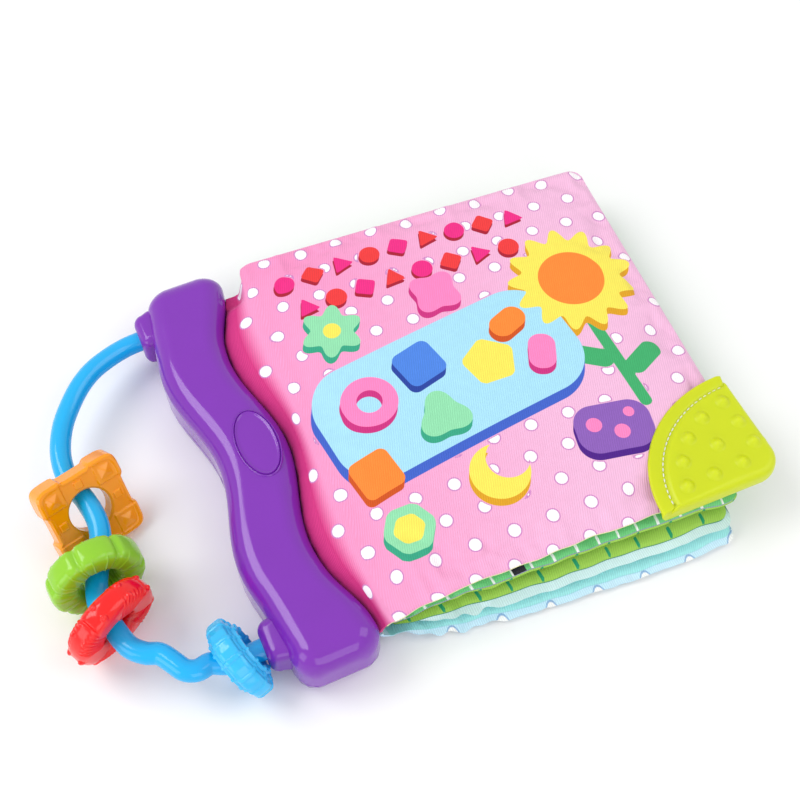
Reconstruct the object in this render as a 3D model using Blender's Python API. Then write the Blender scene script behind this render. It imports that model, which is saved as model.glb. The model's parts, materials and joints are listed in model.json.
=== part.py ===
"""Crinkle cloth book: a wavy two-part handle bar clamps a padded cloth book, and carries a bail with rings.

Metres, +Z up. The origin is on the handle's underside, midway between the bail's bosses. +Y runs along the
handle, and +X from the handle to the book's fore-edge.
"""

import bmesh
import bpy
import numpy as np
from mathutils import Matrix, Vector

# Clearance between pieces that touch
gap = 0.0003

# Handle bar
handle_length = 0.176
handle_shift = 0.002
handle_height = 0.027
handle_width = 0.0278
handle_end_widening = 0.0044
handle_wave = 0.0038
handle_wavelength = 0.085
handle_top_fillet = 0.0085
handle_bottom_fillet = 0.005
end_fillet_share = 0.3333
handle_wall = 0.0022
parting_height = 0.008
widening_start_share = 0.6
widening_end_share = 0.86

# Slot for the spine tape, on the book side
slot_half_length = 0.078
tape_thickness = 0.0025
tape_bead_width = 0.0045
tape_bead_height = 0.0064
tape_bead_start = 0.0018
clamp_rib_width = 0.0016
tape_play = 0.0005

# Bosses that hold the bail
boss_end_distance = 0.017
boss_width = 0.0165
boss_height = 0.0165
boss_reach = 0.0195
boss_radius = 0.004

# Bail
bail_diameter = 0.008
bail_reach = 0.067
bail_rise = 0.004
bail_end_inside = 0.0065
barb_length = 0.003
barb_share = 1.24
bail_steps_per_point = 3

# Oval cap
cap_length = 0.0272
cap_width = 0.0136
cap_offset = 0.0025
cap_recess = 0.0014
cap_rise = 0.0008
cap_edge = 0.0004

# Screws, from below
screw_head_radius = 0.0027
screw_head_height = 0.0017
screw_shank_radius = 0.0013
screw_length_share = 0.574
screw_recess = 0.0006
pillar_radius = 0.0034
pillar_offset = 0.004
pillar_place_shares = (-0.65, -0.24, 0.24, 0.65)

# Padded leaves, from the front cover down to the back cover
leaf_height = 0.165
leaf_pad_share = 0.24444
leaf_edge = 0.0022
hinge_offset = 0.0251
hinge_skew = np.radians(1.74)
leaf_start = 0.0016
fabric = 0.0008
film = 0.0003
inner_margin = 0.009
crown_power = 5.0
spine_dip = 0.0015
spine_dip_length = 0.012
cover_width = 0.1503
page_width = 0.1420
second_page_width = 0.1378
back_width = 0.1385
cover_slant = np.radians(2.6)
page_slant = np.radians(3.4)
second_page_slant = np.radians(4.8)
back_slant = np.radians(6.3)
cover_bow = 0.002
page_bow = 0.0008
second_page_bow = -0.0015
back_bow = -0.0035
inner_page_shift = 0.0012
fore_skew = np.radians(1.3)
fore_taper = 0.0028
spine_corner_ease = 0.0022
spine_corner_share = 0.07

# Gutter webs and their piped noses
nose_radius = 0.0012
web_thickness = 0.0015
web_near_gather = 0.0145

# Corner teether
teether_near_leg = 0.0515
teether_fore_leg = 0.0465
teether_flange = 0.0055
teether_lip = 0.006
teether_rise = 0.0022
teether_lip_drop = 0.0028
teether_fore_overhang = 0.0080
teether_near_overhang = 0.0012
teether_corner_radius = 0.0095
teether_bevel = 0.001
flange_thickness = 0.0015
nub_radius = 0.0025
nub_rise = 0.0009
nub_arc_shares = ((0.754, 5, 0.13, 0.89), (0.537, 3, 0.20, 0.86), (0.327, 2, 0.36, 0.78))

# Rings on the bail
square_side = 0.0335
square_thickness = 0.007
square_hole_radius = 0.0083
square_notch = 0.0016
square_pad = 0.0007
lobed_radius = 0.0177
lobed_thickness = 0.011
lobed_hole_radius = 0.0075
lobe_depth = 0.0010
lobe_count = 7
ridged_radius = 0.0175
ridged_thickness = 0.0108
ridged_hole_radius = 0.0060
ridged_band = 0.0012
stepped_radius = 0.0154
stepped_rim = 0.0080
stepped_hub = 0.0108
stepped_hole_radius = 0.0083
floor_play = 0.0003

# Where each ring hangs: shares of the bail's reach and of half the boss spacing, then how it is turned
square_place_shares = (0.8955, 0.0845)
square_turn = np.radians((24.0, 55.5, -9.8))
lobed_place_shares = (0.9642, -0.3099)
lobed_turn = np.radians((7.0, 86.5, 0.0))
ridged_place_shares = (0.9672, -0.5775)
ridged_turn = np.radians((27.0, 96.0, 0.0))
stepped_place_shares = (0.4190, -1.0040)
stepped_turn = np.radians((103.2, 76.0, 0.0))

# Where the bail's two bends are centred, about which a ring travels along it
upper_bend_shares = (0.2388, 0.3380)
lower_bend_shares = (0.4478, -0.7042)

# Values worked out from those above
handle_end_fillet = handle_height * end_fillet_share
screw_length = handle_height * screw_length_share
boss_centre_height = handle_height / 2
boss_spacing = handle_length - 2 * boss_end_distance
bail_outer_height = boss_centre_height + bail_rise
leaf_pad = handle_height * leaf_pad_share
middle_height = handle_height / 2 + gap / 2
leaf_pitch = leaf_pad + gap
slot_half_height = tape_thickness / 2 + gap
boss_place = boss_spacing / 2
wall_height = middle_height + slot_half_height
LEAVES = (
    ("front_cover", cover_width, cover_slant, cover_bow, 1.5),
    ("page_one", page_width, page_slant, page_bow, 0.5),
    ("page_two", second_page_width, second_page_slant, second_page_bow, -0.5),
    ("back_cover", back_width, back_slant, back_bow, -1.5),
)


def clear_scene():
    for old in list(bpy.data.objects):
        bpy.data.objects.remove(old, do_unlink=True)


def material(name, colour, roughness, metallic=0.0):
    """A Principled material of its own for each object."""
    made = bpy.data.materials.new(name)
    made.use_nodes = True
    shader = made.node_tree.nodes["Principled BSDF"]
    shader.inputs["Base Color"].default_value = (*colour, 1.0)
    shader.inputs["Roughness"].default_value = roughness
    shader.inputs["Metallic"].default_value = metallic
    return made


def add_object(name, points, faces, look, matrix=None):
    """One closed mesh, its normals outwards."""
    mesh = bpy.data.meshes.new(name)
    mesh.from_pydata([tuple(p) for p in points], [], [tuple(f) for f in faces])
    work = bmesh.new()
    work.from_mesh(mesh)
    bmesh.ops.recalc_face_normals(work, faces=work.faces)
    work.to_mesh(mesh)
    work.free()
    mesh.shade_smooth()
    mesh.set_sharp_from_angle(angle=np.radians(40))
    obj = bpy.data.objects.new(name, mesh)
    bpy.context.scene.collection.objects.link(obj)
    if matrix is not None:
        obj.matrix_world = matrix
    if look is not None:
        mesh.materials.append(material(name, *look))
    return obj


def make_cutter(obj):
    obj.hide_render = True
    obj.display_type = "WIRE"
    return obj


def combine(obj, other, operation):
    """A live Boolean with a helper object."""
    make_cutter(other)
    modifier = obj.modifiers.new(f"{operation.lower()} {other.name}", "BOOLEAN")
    modifier.operation = operation
    modifier.solver = "EXACT"
    modifier.object = other


def loft(name, sections, look=None, matrix=None):
    """A closed body through like sections, each a ring of points, with flat ends."""
    rings = np.asarray(sections)
    count, around = rings.shape[:2]
    faces = []
    for i in range(count - 1):
        for j in range(around):
            k = (j + 1) % around
            faces.append((i * around + j, i * around + k, (i + 1) * around + k, (i + 1) * around + j))
    faces.append(range(around))
    faces.append(range((count - 1) * around, count * around))
    return add_object(name, rings.reshape(-1, 3), faces, look, matrix)


def torus_grid(name, rings, look, matrix):
    """A closed body from a grid of points that joins up both ways."""
    count, around = rings.shape[:2]
    faces = []
    for i in range(count):
        for j in range(around):
            a, b = (i + 1) % count, (j + 1) % around
            faces.append((i * around + j, a * around + j, a * around + b, i * around + b))
    return add_object(name, rings.reshape(-1, 3), faces, look, matrix)


def box(name, low, high):
    low, high = Vector(low), Vector(high)
    work = bmesh.new()
    bmesh.ops.create_cube(work, size=1.0)
    bmesh.ops.scale(work, vec=high - low, verts=work.verts)
    bmesh.ops.translate(work, vec=(low + high) / 2, verts=work.verts)
    return from_bmesh(name, work)


def from_bmesh(name, work):
    mesh = bpy.data.meshes.new(name)
    work.to_mesh(mesh)
    work.free()
    obj = bpy.data.objects.new(name, mesh)
    bpy.context.scene.collection.objects.link(obj)
    return obj


def rounded_block(name, low, high, radius):
    obj = box(name, low, high)
    work = bmesh.new()
    work.from_mesh(obj.data)
    bmesh.ops.bevel(work, geom=list(work.edges), offset=radius, segments=3, profile=0.5, affect="EDGES")
    work.to_mesh(obj.data)
    work.free()
    return obj


def cylinder(name, start, end, radius, sides=14):
    start, end = Vector(start), Vector(end)
    work = bmesh.new()
    turn = (end - start).to_track_quat("Z", "Y").to_matrix().to_4x4()
    place = Matrix.Translation((start + end) / 2) @ turn
    size = {"radius1": radius, "radius2": radius, "depth": (end - start).length}
    bmesh.ops.create_cone(work, cap_ends=True, segments=sides, matrix=place, **size)
    return from_bmesh(name, work)


def arc(cx, cz, radius, start, end, count):
    """Points on a circle, from one angle to another in degrees."""
    angles = np.radians(np.linspace(start, end, count))
    return [(cx + radius * np.cos(a), cz + radius * np.sin(a)) for a in angles]


def smooth(value, low, high):
    """A smooth step from 0 at low to 1 at high."""
    t = np.clip((value - low) / (high - low), 0.0, 1.0)
    return t * t * (3.0 - 2.0 * t)


def handle_centre(y):
    """The wavy centre line: towards the book at the middle and at both ends."""
    return handle_wave * np.cos(2.0 * np.pi * y / handle_wavelength)


def handle_half_width(y):
    along = abs(y + handle_shift) / (handle_length / 2)
    return (handle_width + handle_end_widening * smooth(along, widening_start_share, widening_end_share)) / 2


def handle_section(y, inset, end_inset, corner_points):
    """A rounded rectangle across the handle, drawn in by inset, and by end_inset more at the ends."""
    half = handle_half_width(y) - inset - end_inset
    low, high = inset + end_inset, handle_height - inset - end_inset
    top = max(handle_top_fillet - inset - end_inset / 2, gap)
    bottom = max(handle_bottom_fillet - inset - end_inset / 2, gap)
    c = handle_centre(y)
    points = arc(c + half - bottom, low + bottom, bottom, -90, 0, corner_points - 1)
    points += arc(c + half - top, high - top, top, 0, 90, corner_points)
    points += arc(c - half + top, high - top, top, 90, 180, corner_points)
    points += arc(c - half + bottom, low + bottom, bottom, 180, 270, corner_points - 1)
    return [(x, y, z) for x, z in points]


def handle_loft(name, inset, stations, corner_points, end_steps):
    """The handle's body, or its hollow, with rounded ends."""
    half = handle_length / 2 - inset
    fillet = handle_end_fillet - inset
    turns = np.radians(np.linspace(0, 90, end_steps, endpoint=False))
    ends = [(half - fillet + fillet * np.sin(t), fillet * (1 - np.cos(t))) for t in turns] + [(half, fillet)]
    places = [(-y, d) for y, d in reversed(ends)]
    places += [(y, 0.0) for y in np.linspace(fillet - half, half - fillet, stations)[1:-1]]
    places += ends
    return loft(name, [handle_section(y - handle_shift, inset, d, corner_points) for y, d in places])


def bosses(name):
    """The two rounded blocks on the bail's side, for joining to a shell."""
    made = []
    for side in (-1, 1):
        y = side * boss_place
        low = (-boss_reach, y - boss_width / 2, boss_centre_height - boss_height / 2)
        high = (-handle_width / 4, y + boss_width / 2, boss_centre_height + boss_height / 2)
        made.append(rounded_block(f"{name}_{side}", low, high, boss_radius))
    return made


def pillar_places():
    half = handle_length / 2
    return [(handle_centre(s * half) - pillar_offset, s * half) for s in pillar_place_shares]


def shell_body(name, look):
    """The handle's outer form with its bosses, and its hollow cut out."""
    shell = handle_loft(name, 0.0, 27, 6, 4)
    shell.data.materials.append(material(name, *look))
    for boss in bosses(name + "_boss"):
        combine(shell, boss, "UNION")
    combine(shell, handle_loft(name + "_hollow", handle_wall, 20, 4, 2), "DIFFERENCE")
    return shell


def wide_box(name, x_low, x_high, z_low, z_high, y_low=-handle_length, y_high=handle_length):
    return box(name, (x_low, y_low, z_low), (x_high, y_high, z_high))


def top_shell(look):
    """Upper casing: open below, with the slot for the tape, screw pillars and a clamp rib."""
    shell = shell_body("handle_top_shell", look)
    beyond = handle_length
    split = parting_height + gap / 2
    combine(shell, wide_box("top_split", -beyond, beyond, -beyond, split), "DIFFERENCE")
    slot_top = wall_height
    slot = wide_box("top_slot", tape_bead_start, beyond, 0.0, slot_top, -slot_half_length, slot_half_length)
    combine(shell, slot, "DIFFERENCE")
    rib_x = tape_bead_start + tape_bead_width + tape_play
    roof = handle_height - handle_wall / 2
    rib_top = handle_height - handle_top_fillet / 2
    rib_end = slot_half_length - tape_play - boss_width / 2
    rib = box("top_rib", (rib_x, -rib_end, slot_top), (rib_x + clamp_rib_width, rib_end, rib_top))
    combine(shell, rib, "UNION")
    for i, (x, y) in enumerate(pillar_places()):
        foot = split + tape_play
        combine(shell, cylinder(f"pillar_{i}", (x, y, foot), (x, y, roof), pillar_radius), "UNION")
        pilot_end = screw_recess + screw_length + gap
        pilot = cylinder(f"pilot_{i}", (x, y, 0.0), (x, y, pilot_end), screw_shank_radius + gap, 10)
        combine(shell, pilot, "DIFFERENCE")
    for side in (-1, 1):
        start = (-boss_reach - boss_radius, side * boss_place, boss_centre_height)
        end = (-handle_wave, side * boss_place, boss_centre_height)
        hole = cylinder(f"bail_hole_{side}", start, end, bail_diameter / 2 + gap)
        combine(shell, hole, "DIFFERENCE")
    floor = handle_height - cap_recess
    combine(shell, oval("cap_recess", floor, handle_height + cap_recess, gap), "DIFFERENCE")
    return shell


def bottom_shell(look):
    """Lower casing: a tray whose book-side wall rises to the tape, with wells for the screws."""
    shell = shell_body("handle_bottom_shell", look)
    beyond = handle_length
    split = parting_height - gap / 2
    slot_bottom = middle_height - slot_half_height
    side_split = tape_bead_start - gap
    end = slot_half_length - gap
    combine(shell, wide_box("bottom_top", -beyond, beyond, slot_bottom, beyond), "DIFFERENCE")
    combine(shell, wide_box("bottom_side", -beyond, side_split, split, beyond), "DIFFERENCE")
    combine(shell, wide_box("bottom_far", -beyond, beyond, split, beyond, end, beyond), "DIFFERENCE")
    combine(shell, wide_box("bottom_near", -beyond, beyond, split, beyond, -beyond, -end), "DIFFERENCE")
    rib_x = tape_bead_start + tape_bead_width + tape_play
    rib_end = slot_half_length - tape_play - boss_width / 2
    floor = handle_wall / 2
    rib = box("bottom_rib", (rib_x, -rib_end, floor), (rib_x + clamp_rib_width, rib_end, slot_bottom))
    combine(shell, rib, "UNION")
    head_depth = screw_recess + screw_head_height + gap
    for i, (x, y) in enumerate(pillar_places()):
        combine(shell, cylinder(f"well_{i}", (x, y, floor), (x, y, split), pillar_radius), "UNION")
        bore = screw_shank_radius + gap
        through = cylinder(f"through_{i}", (x, y, -handle_wall), (x, y, handle_height), bore, 10)
        combine(shell, through, "DIFFERENCE")
        seat = cylinder(f"seat_{i}", (x, y, -handle_wall), (x, y, head_depth), screw_head_radius + gap)
        combine(shell, seat, "DIFFERENCE")
    return shell


def ellipse(half_x, half_y, z, count=24):
    angles = np.linspace(0.0, 2.0 * np.pi, count, endpoint=False)
    x = handle_wave + cap_offset
    return [(x + half_x * np.cos(a), half_y * np.sin(a), z) for a in angles]


def oval(name, low, high, grow):
    """An upright oval block, the recess that the cap sits in."""
    half_x, half_y = cap_width / 2 + grow, cap_length / 2 + grow
    return loft(name, [ellipse(half_x, half_y, z) for z in (low, high)])


def oval_cap(look):
    """The snap-in cap: a rim line round a low dome."""
    foot = handle_height - cap_recess + gap
    half_x, half_y = cap_width / 2, cap_length / 2
    levels = [(foot, 0.0), (handle_height, 0.0), (handle_height + cap_edge, cap_edge)]
    levels += [(handle_height + cap_edge, 2 * cap_edge), (handle_height + cap_edge / 2, 3 * cap_edge)]
    rings = [ellipse(half_x - inset, half_y - inset, z) for z, inset in levels]
    for share in (0.66, 0.33):
        rise = cap_rise * (1.0 - share**2)
        rings.append(ellipse(half_x * share, half_y * share, handle_height + rise))
    loft("oval_cap", rings, look)


def screws(look):
    """Pan head screws, put in from below."""
    top = screw_recess + screw_length
    neck = screw_recess + screw_head_height
    profile = [(screw_head_radius * 0.8, screw_recess)]
    profile += [(screw_head_radius, screw_recess + screw_head_height / 3)]
    profile += [(screw_head_radius, neck), (screw_shank_radius, neck)]
    profile += [(screw_shank_radius, top - screw_shank_radius), (screw_shank_radius / 3, top)]
    angles = np.linspace(0.0, 2.0 * np.pi, 10, endpoint=False)
    rings = [[(r * np.cos(a), r * np.sin(a), z) for a in angles] for r, z in profile]
    for i, (x, y) in enumerate(pillar_places()):
        loft(f"handle_screw_{i + 1}", rings, look, Matrix.Translation((x, y, 0.0)))


def bail_route():
    """The bail's centre line: a flat D that rises a little away from the handle, wavy on its lower half.

    Each point is a share of the reach from the handle and a share of the boss spacing's half.
    """
    route_shares = (
        (0.10, 1.0), (0.36, 0.995), (0.56, 0.92), (0.685, 0.835), (0.79, 0.725), (0.88, 0.595),
        (0.938, 0.44), (0.944, 0.28), (0.89, 0.115), (0.868, -0.04), (0.90, -0.18), (0.975, -0.35),
        (1.0, -0.48), (0.965, -0.62), (0.925, -0.735), (0.86, -0.80), (0.79, -0.835), (0.745, -0.895),
        (0.70, -0.96), (0.64, -0.985), (0.57, -0.975), (0.50, -1.0), (0.43, -1.015), (0.34, -1.0),
        (0.10, -1.0),
    )
    points = []
    for reach_share, side_share in route_shares:
        height = boss_centre_height + bail_rise * smooth(reach_share, 0.25, 0.75)
        points.append(Vector((-bail_reach * reach_share, boss_place * side_share, height)))
    return points


def through_points(points, steps):
    """A smooth curve through the points, by the Catmull-Rom formula."""
    padded = [2 * points[0] - points[1]] + points + [2 * points[-1] - points[-2]]
    curve = []
    for a, b, c, d in zip(padded, padded[1:], padded[2:], padded[3:]):
        for step in range(steps):
            t = step / steps
            bend = (2 * a - 5 * b + 4 * c - d) * t * t + (3 * b - a - 3 * c + d) * t**3
            curve.append((2 * b + (c - a) * t + bend) / 2)
    return curve + [points[-1]]


def bail(look):
    """The bail, a bent tube whose ends carry a snap barb inside the handle."""
    route = through_points(bail_route(), bail_steps_per_point)
    route = [p for p in route if p.x < -bail_end_inside - barb_length - gap]
    for end, side in ((0, 1), (-1, -1)):
        place = Vector((0.0, side * boss_place, boss_centre_height))
        stops = [-bail_end_inside - barb_length, -bail_end_inside - barb_length + gap, -bail_end_inside]
        added = [place + Vector((x, 0.0, 0.0)) for x in stops]
        route = list(reversed(added)) + route if end == 0 else route + added
    data = bpy.data.curves.new("bail", "CURVE")
    data.dimensions = "3D"
    data.bevel_depth = bail_diameter / 2
    data.bevel_resolution = 3
    data.use_fill_caps = True
    spline = data.splines.new("POLY")
    spline.points.add(len(route) - 1)
    for point, place in zip(spline.points, route):
        point.co = (*place, 1.0)
        point.radius = 1.0
    for index in (0, 1, -2, -1):
        spline.points[index].radius = barb_share
    for index in (0, -1):
        spline.points[index].radius = 1.0
    obj = bpy.data.objects.new("bail", data)
    bpy.context.scene.collection.objects.link(obj)
    data.materials.append(material("bail", *look))


def hinge_x(y):
    """Where the leaves' hinge line passes, at a place along the handle."""
    return hinge_offset + np.tan(hinge_skew) * y


def leaf_plan(leaf, us, vs, grow=0.0):
    """The leaf's outline, filled: us run from the spine to the fore-edge, vs from near to far."""
    _, width, slant, bow, level = leaf
    shift = inner_page_shift if abs(level) < 1 else 0.0
    u, v = np.meshgrid(us, vs, indexing="ij")
    spine_y = shift + (leaf_height + 2 * grow) * (v - 0.5)
    pinch = spine_corner_ease * np.clip(1.0 - v / spine_corner_share, 0.0, 1.0) ** 2
    spine_x = hinge_x(spine_y) + leaf_start + pinch * (1 - u) - grow
    reach = width + 2 * grow + np.tan(fore_skew) * leaf_height * (v - 0.5)
    x = spine_x + reach * u * np.cos(slant)
    y = spine_y - reach * u * np.sin(slant) + bow * 4 * u * (1 - u) * (1 - v) - fore_taper * u * v
    return x, y, u, v


def crown(u, v):
    """How full the pad is: 0 at its seams, 1 over most of its middle."""
    along = np.clip(1.0 - np.abs(2 * u - 1) ** crown_power, 0.0, 1.0)
    across = np.clip(1.0 - np.abs(2 * v - 1) ** crown_power, 0.0, 1.0)
    return np.sqrt(along * across)


def leaf_levels(leaf, u, full):
    """The height of the pad's middle, and half its thickness."""
    _, width, _, _, level = leaf
    dip = spine_dip * np.clip(1.0 - u * width / spine_dip_length, 0.0, 1.0) ** 2
    inner = abs(level) < 1
    middle = middle_height + level * leaf_pitch - np.sign(level) * dip * inner
    half = leaf_edge / 2 + (leaf_pad - leaf_edge) / 2 * full
    return middle, half


def sheet_solid(name, x, y, low, high, look):
    """A closed body between two heights over one plan."""
    rows, columns = x.shape
    under = np.stack([x, y, low], axis=-1).reshape(-1, 3)
    over = np.stack([x, y, high], axis=-1).reshape(-1, 3)
    count = rows * columns
    faces = []
    for i in range(rows - 1):
        for j in range(columns - 1):
            a, b = i * columns + j, (i + 1) * columns + j
            faces.append((a, a + 1, b + 1, b))
            faces.append((count + a, count + b, count + b + 1, count + a + 1))
    rim = [i * columns for i in range(rows)]
    rim += [(rows - 1) * columns + j for j in range(1, columns)]
    rim += [i * columns + columns - 1 for i in range(rows - 2, -1, -1)]
    rim += list(range(columns - 2, 0, -1))
    for a, b in zip(rim, rim[1:] + rim[:1]):
        faces.append((a, b, count + b, count + a))
    return add_object(name, np.concatenate([under, over]), faces, look)


def spaced(count, low=0.0, high=1.0):
    """Places from low to high, closer together near both ends."""
    return low + (high - low) * (0.5 - 0.5 * np.cos(np.linspace(0.0, np.pi, count)))


def padded_leaf(leaf, upper_look, lower_look, wadding_look, film_look):
    """One padded leaf: two fabric panels seamed at mid-thickness, with a film and wadding inside."""
    name, width = leaf[:2]
    x, y, u, v = leaf_plan(leaf, spaced(9), spaced(9))
    middle, half = leaf_levels(leaf, u, crown(u, v))
    floor = np.maximum(middle - half, 0.0)
    inner_top = np.maximum(middle + half - fabric, middle + gap / 2)
    inner_bottom = np.minimum(floor + fabric, middle - gap / 2)
    upper = sheet_solid(name + "_upper_panel", x, y, inner_top, middle + half, upper_look)
    lower = sheet_solid(name + "_lower_panel", x, y, floor, inner_bottom, lower_look)
    margin_u, margin_v = inner_margin / width, inner_margin / leaf_height
    places = spaced(7, margin_u, 1 - margin_u), spaced(7, margin_v, 1 - margin_v)
    x, y, u, v = leaf_plan(leaf, *places)
    middle, half = leaf_levels(leaf, u, crown(u, v))
    slack = 2 * gap
    film_top = middle + half - fabric - slack
    low = middle - half + fabric + slack
    noisy = sheet_solid(name + "_crinkle_film", x, y, film_top - film, film_top, film_look)
    soft = sheet_solid(name + "_wadding", x, y, low, film_top - film - slack, wadding_look)
    return [upper, lower, noisy, soft]


def prism_along_spine(name, section, look, near, far):
    """A straight strip along the hinge line. The section is (x from the hinge, z), or (x, z, "fixed")."""
    rings = []
    for y in (near, far):
        ring = []
        for x, z, *fixed in section:
            ring.append((x if fixed else hinge_x(y) + x, y, z))
        rings.append(ring)
    return loft(name, rings, look)


def spine_tape(look):
    """The cloth tape: a bead inside the handle, a web through the slot, and a round nose at the hinge."""
    half_web = tape_thickness / 2
    nose = arc(0.0, middle_height, half_web, -90, 90, 7)
    low, high = middle_height - tape_bead_height / 2, middle_height + tape_bead_height / 2
    start, end = tape_bead_start + gap, tape_bead_start + tape_bead_width
    chamfer = tape_play
    bead = [(end, middle_height + half_web), (end, high - chamfer), (end - chamfer, high)]
    bead += [(start + chamfer, high), (start, high - chamfer), (start, low + chamfer), (start + chamfer, low)]
    bead += [(end - chamfer, low), (end, low + chamfer), (end, middle_height - half_web)]
    section = list(nose) + [(x, z, "fixed") for x, z in bead]
    half_length = slot_half_length - 4 * tape_play
    prism_along_spine("spine_tape", section, look, -half_length, half_length)


def gutter_web(name, side, look):
    """The spine cloth from the inner leaf's edge to the cover's hinge, with a piped nose.

    side is 1 or -1. Its near end is gathered in, clear of the handle's wide end.
    """
    pivot = 1.5 * leaf_pitch
    foot = tape_thickness / 2 + tape_play
    right = leaf_start - gap
    left = right - web_thickness
    bend = pivot - 2 * nose_radius
    points = [(left, foot), (right, foot), (right, bend)]
    points += arc(0.0, pivot, nose_radius, -35, 215, 8)
    points += [(left, bend)]
    section = [(x, middle_height + side * z) for x, z in points]
    half_length = leaf_height / 2
    return prism_along_spine(name, section, look, web_near_gather - half_length, half_length)


def corner_frame():
    """The teether's outer corner, and the directions of the cover's near edge and fore-edge from it."""
    x, y, _, _ = leaf_plan(LEAVES[0], [0.0, 1.0], [0.0, 1.0])
    corner = Vector((x[1, 0], y[1, 0], 0.0))
    near = (Vector((x[0, 0], y[0, 0], 0.0)) - corner).normalized()
    fore = (Vector((x[1, 1], y[1, 1], 0.0)) - corner).normalized()
    return corner - near * teether_fore_overhang - fore * teether_near_overhang, near, fore


def teether_outline(inset, trim, arc_points=9):
    """The corner piece from above: two straight legs, a round corner and a round inner edge."""
    corner, near, fore = corner_frame()
    out = corner + (near + fore) * inset
    turn = teether_corner_radius - inset
    points = []
    for t in np.radians(np.linspace(0, 90, 6)):
        points.append(out + near * turn * (1 - np.sin(t)) + fore * turn * (1 - np.cos(t)))
    near_leg, fore_leg = teether_near_leg - trim, teether_fore_leg - trim
    near_sweep, fore_sweep = np.arcsin(inset / fore_leg), np.arcsin(inset / near_leg)
    for t in np.linspace(np.pi / 2 - fore_sweep, near_sweep, arc_points):
        reach = near * np.cos(t) * (near_leg - inset) + fore * np.sin(t) * (fore_leg - inset)
        points.append(corner + reach)
    return points


def upright_prism(name, outline, low, high, look=None):
    return loft(name, [[(p.x, p.y, z) for p in outline] for z in (low, high)], look)


def nub_places():
    """Arcs of nubs round the corner. Each row has its radius share, its count and its first and last turn."""
    corner, near, fore = corner_frame()
    places = []
    for radius_share, count, first, last in nub_arc_shares:
        for turn_share in np.linspace(first, last, count):
            t = turn_share * np.pi / 2
            reach = near * np.cos(t) * teether_near_leg + fore * np.sin(t) * teether_fore_leg
            places.append(corner + reach * radius_share)
    return places


def corner_teether(look):
    """Silicone corner round the cover's edge: a nubbed pad with a sewn flange above, a narrow lip below."""
    seam = middle_height + 1.5 * leaf_pitch
    flange_top = seam + leaf_pad / 2 + gap + flange_thickness
    top = seam + leaf_pad / 2 + gap + teether_rise
    wide, narrow = teether_outline(0.0, 0.0), teether_outline(0.0, teether_flange)
    body = upright_prism("corner_teether", wide, seam - teether_lip_drop, flange_top, look)
    rings = [[(p.x, p.y, seam) for p in narrow], [(p.x, p.y, top - teether_bevel) for p in narrow]]
    rings.append([(p.x, p.y, top) for p in teether_outline(teether_bevel, teether_flange)])
    combine(body, loft("teether_pad", rings), "UNION")
    hollow = teether_outline(teether_lip + teether_near_overhang, 0.0)
    combine(body, upright_prism("teether_inside", hollow, 0.0, seam), "DIFFERENCE")
    x, y, u, v = leaf_plan(LEAVES[0], spaced(9), spaced(9), gap)
    middle, half = leaf_levels(LEAVES[0], u, crown(u, v))
    pocket = sheet_solid("teether_pocket", x, y, middle - half - gap, middle + half + gap, None)
    combine(body, pocket, "DIFFERENCE")
    for i, place in enumerate(nub_places()):
        combine(body, dome(f"nub_{i}", place, top), "UNION")
    return body


def dome(name, place, top):
    """A low round nub whose foot is sunk into the pad."""
    angles = np.linspace(0.0, 2.0 * np.pi, 10, endpoint=False)
    rings = []
    for share, height in ((1.0, -nub_rise), (1.0, 0.0), (0.8, 0.6 * nub_rise), (0.4, nub_rise)):
        reach = nub_radius * share
        x, y, z = place.x + reach * np.cos(angles), place.y + reach * np.sin(angles), top + height
        rings.append(np.stack([x, y, np.full_like(x, z)], axis=-1))
    return loft(name, rings)


def bail_place(place_shares, height):
    return Matrix.Translation((-bail_reach * place_shares[0], boss_place * place_shares[1], height))


def ring_matrix(place_shares, height, turn):
    """A frame whose Z is the ring's axis: turned by a heading, leaned back from flat, and rolled about it."""
    heading, lean, roll = turn
    place = bail_place(place_shares, height)
    lay = Matrix.Rotation(heading, 4, "Z") @ Matrix.Rotation(lean, 4, "X")
    return place @ lay @ Matrix.Rotation(roll, 4, "Z")


def revolved(profile, count, outer=None):
    """Rings of a profile of (radius, height) carried round Z. outer(angle) scales what lies past the hole."""
    angles = np.linspace(0.0, 2.0 * np.pi, count, endpoint=False)
    hole = min(r for r, _ in profile)
    rings = np.empty((count, len(profile), 3))
    for i, angle in enumerate(angles):
        for j, (radius, height) in enumerate(profile):
            reach = radius if outer is None else hole + (radius - hole) * outer(angle)
            rings[i, j] = (reach * np.cos(angle), reach * np.sin(angle), height)
    return rings


def square_ring(look):
    """A rounded square plate with notched sides, raised corner pads and a round hole."""
    half, thick, hole = square_side / 2, square_thickness / 2, square_hole_radius
    count, power = 48, 9.0
    rings = np.empty((count, 8, 3))
    for i, angle in enumerate(np.linspace(0.0, 2.0 * np.pi, count, endpoint=False)):
        c, s = np.cos(angle), np.sin(angle)
        reach = half / (abs(c) ** power + abs(s) ** power) ** (1.0 / power)
        corner = smooth(abs(np.sin(2 * angle)), 0.55, 0.75)
        reach -= square_notch * (1.0 - corner)
        pad = square_pad * corner
        inner = hole + (reach - hole) * 0.3
        section = ((hole, -thick), (hole, thick), (inner, thick), (inner + square_notch, thick + pad))
        section += ((reach - square_notch / 2, thick + pad), (reach, thick - square_notch / 2))
        section += ((reach, square_notch / 2 - thick), (reach - square_notch / 2, -thick - pad))
        rings[i] = [(r * c, r * s, z) for r, z in section]
    height = square_side / 2 * np.sin(square_turn[1]) + square_thickness / 2 + floor_play
    return torus_grid("ring_square", rings, look, ring_matrix(square_place_shares, height, square_turn))


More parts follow.
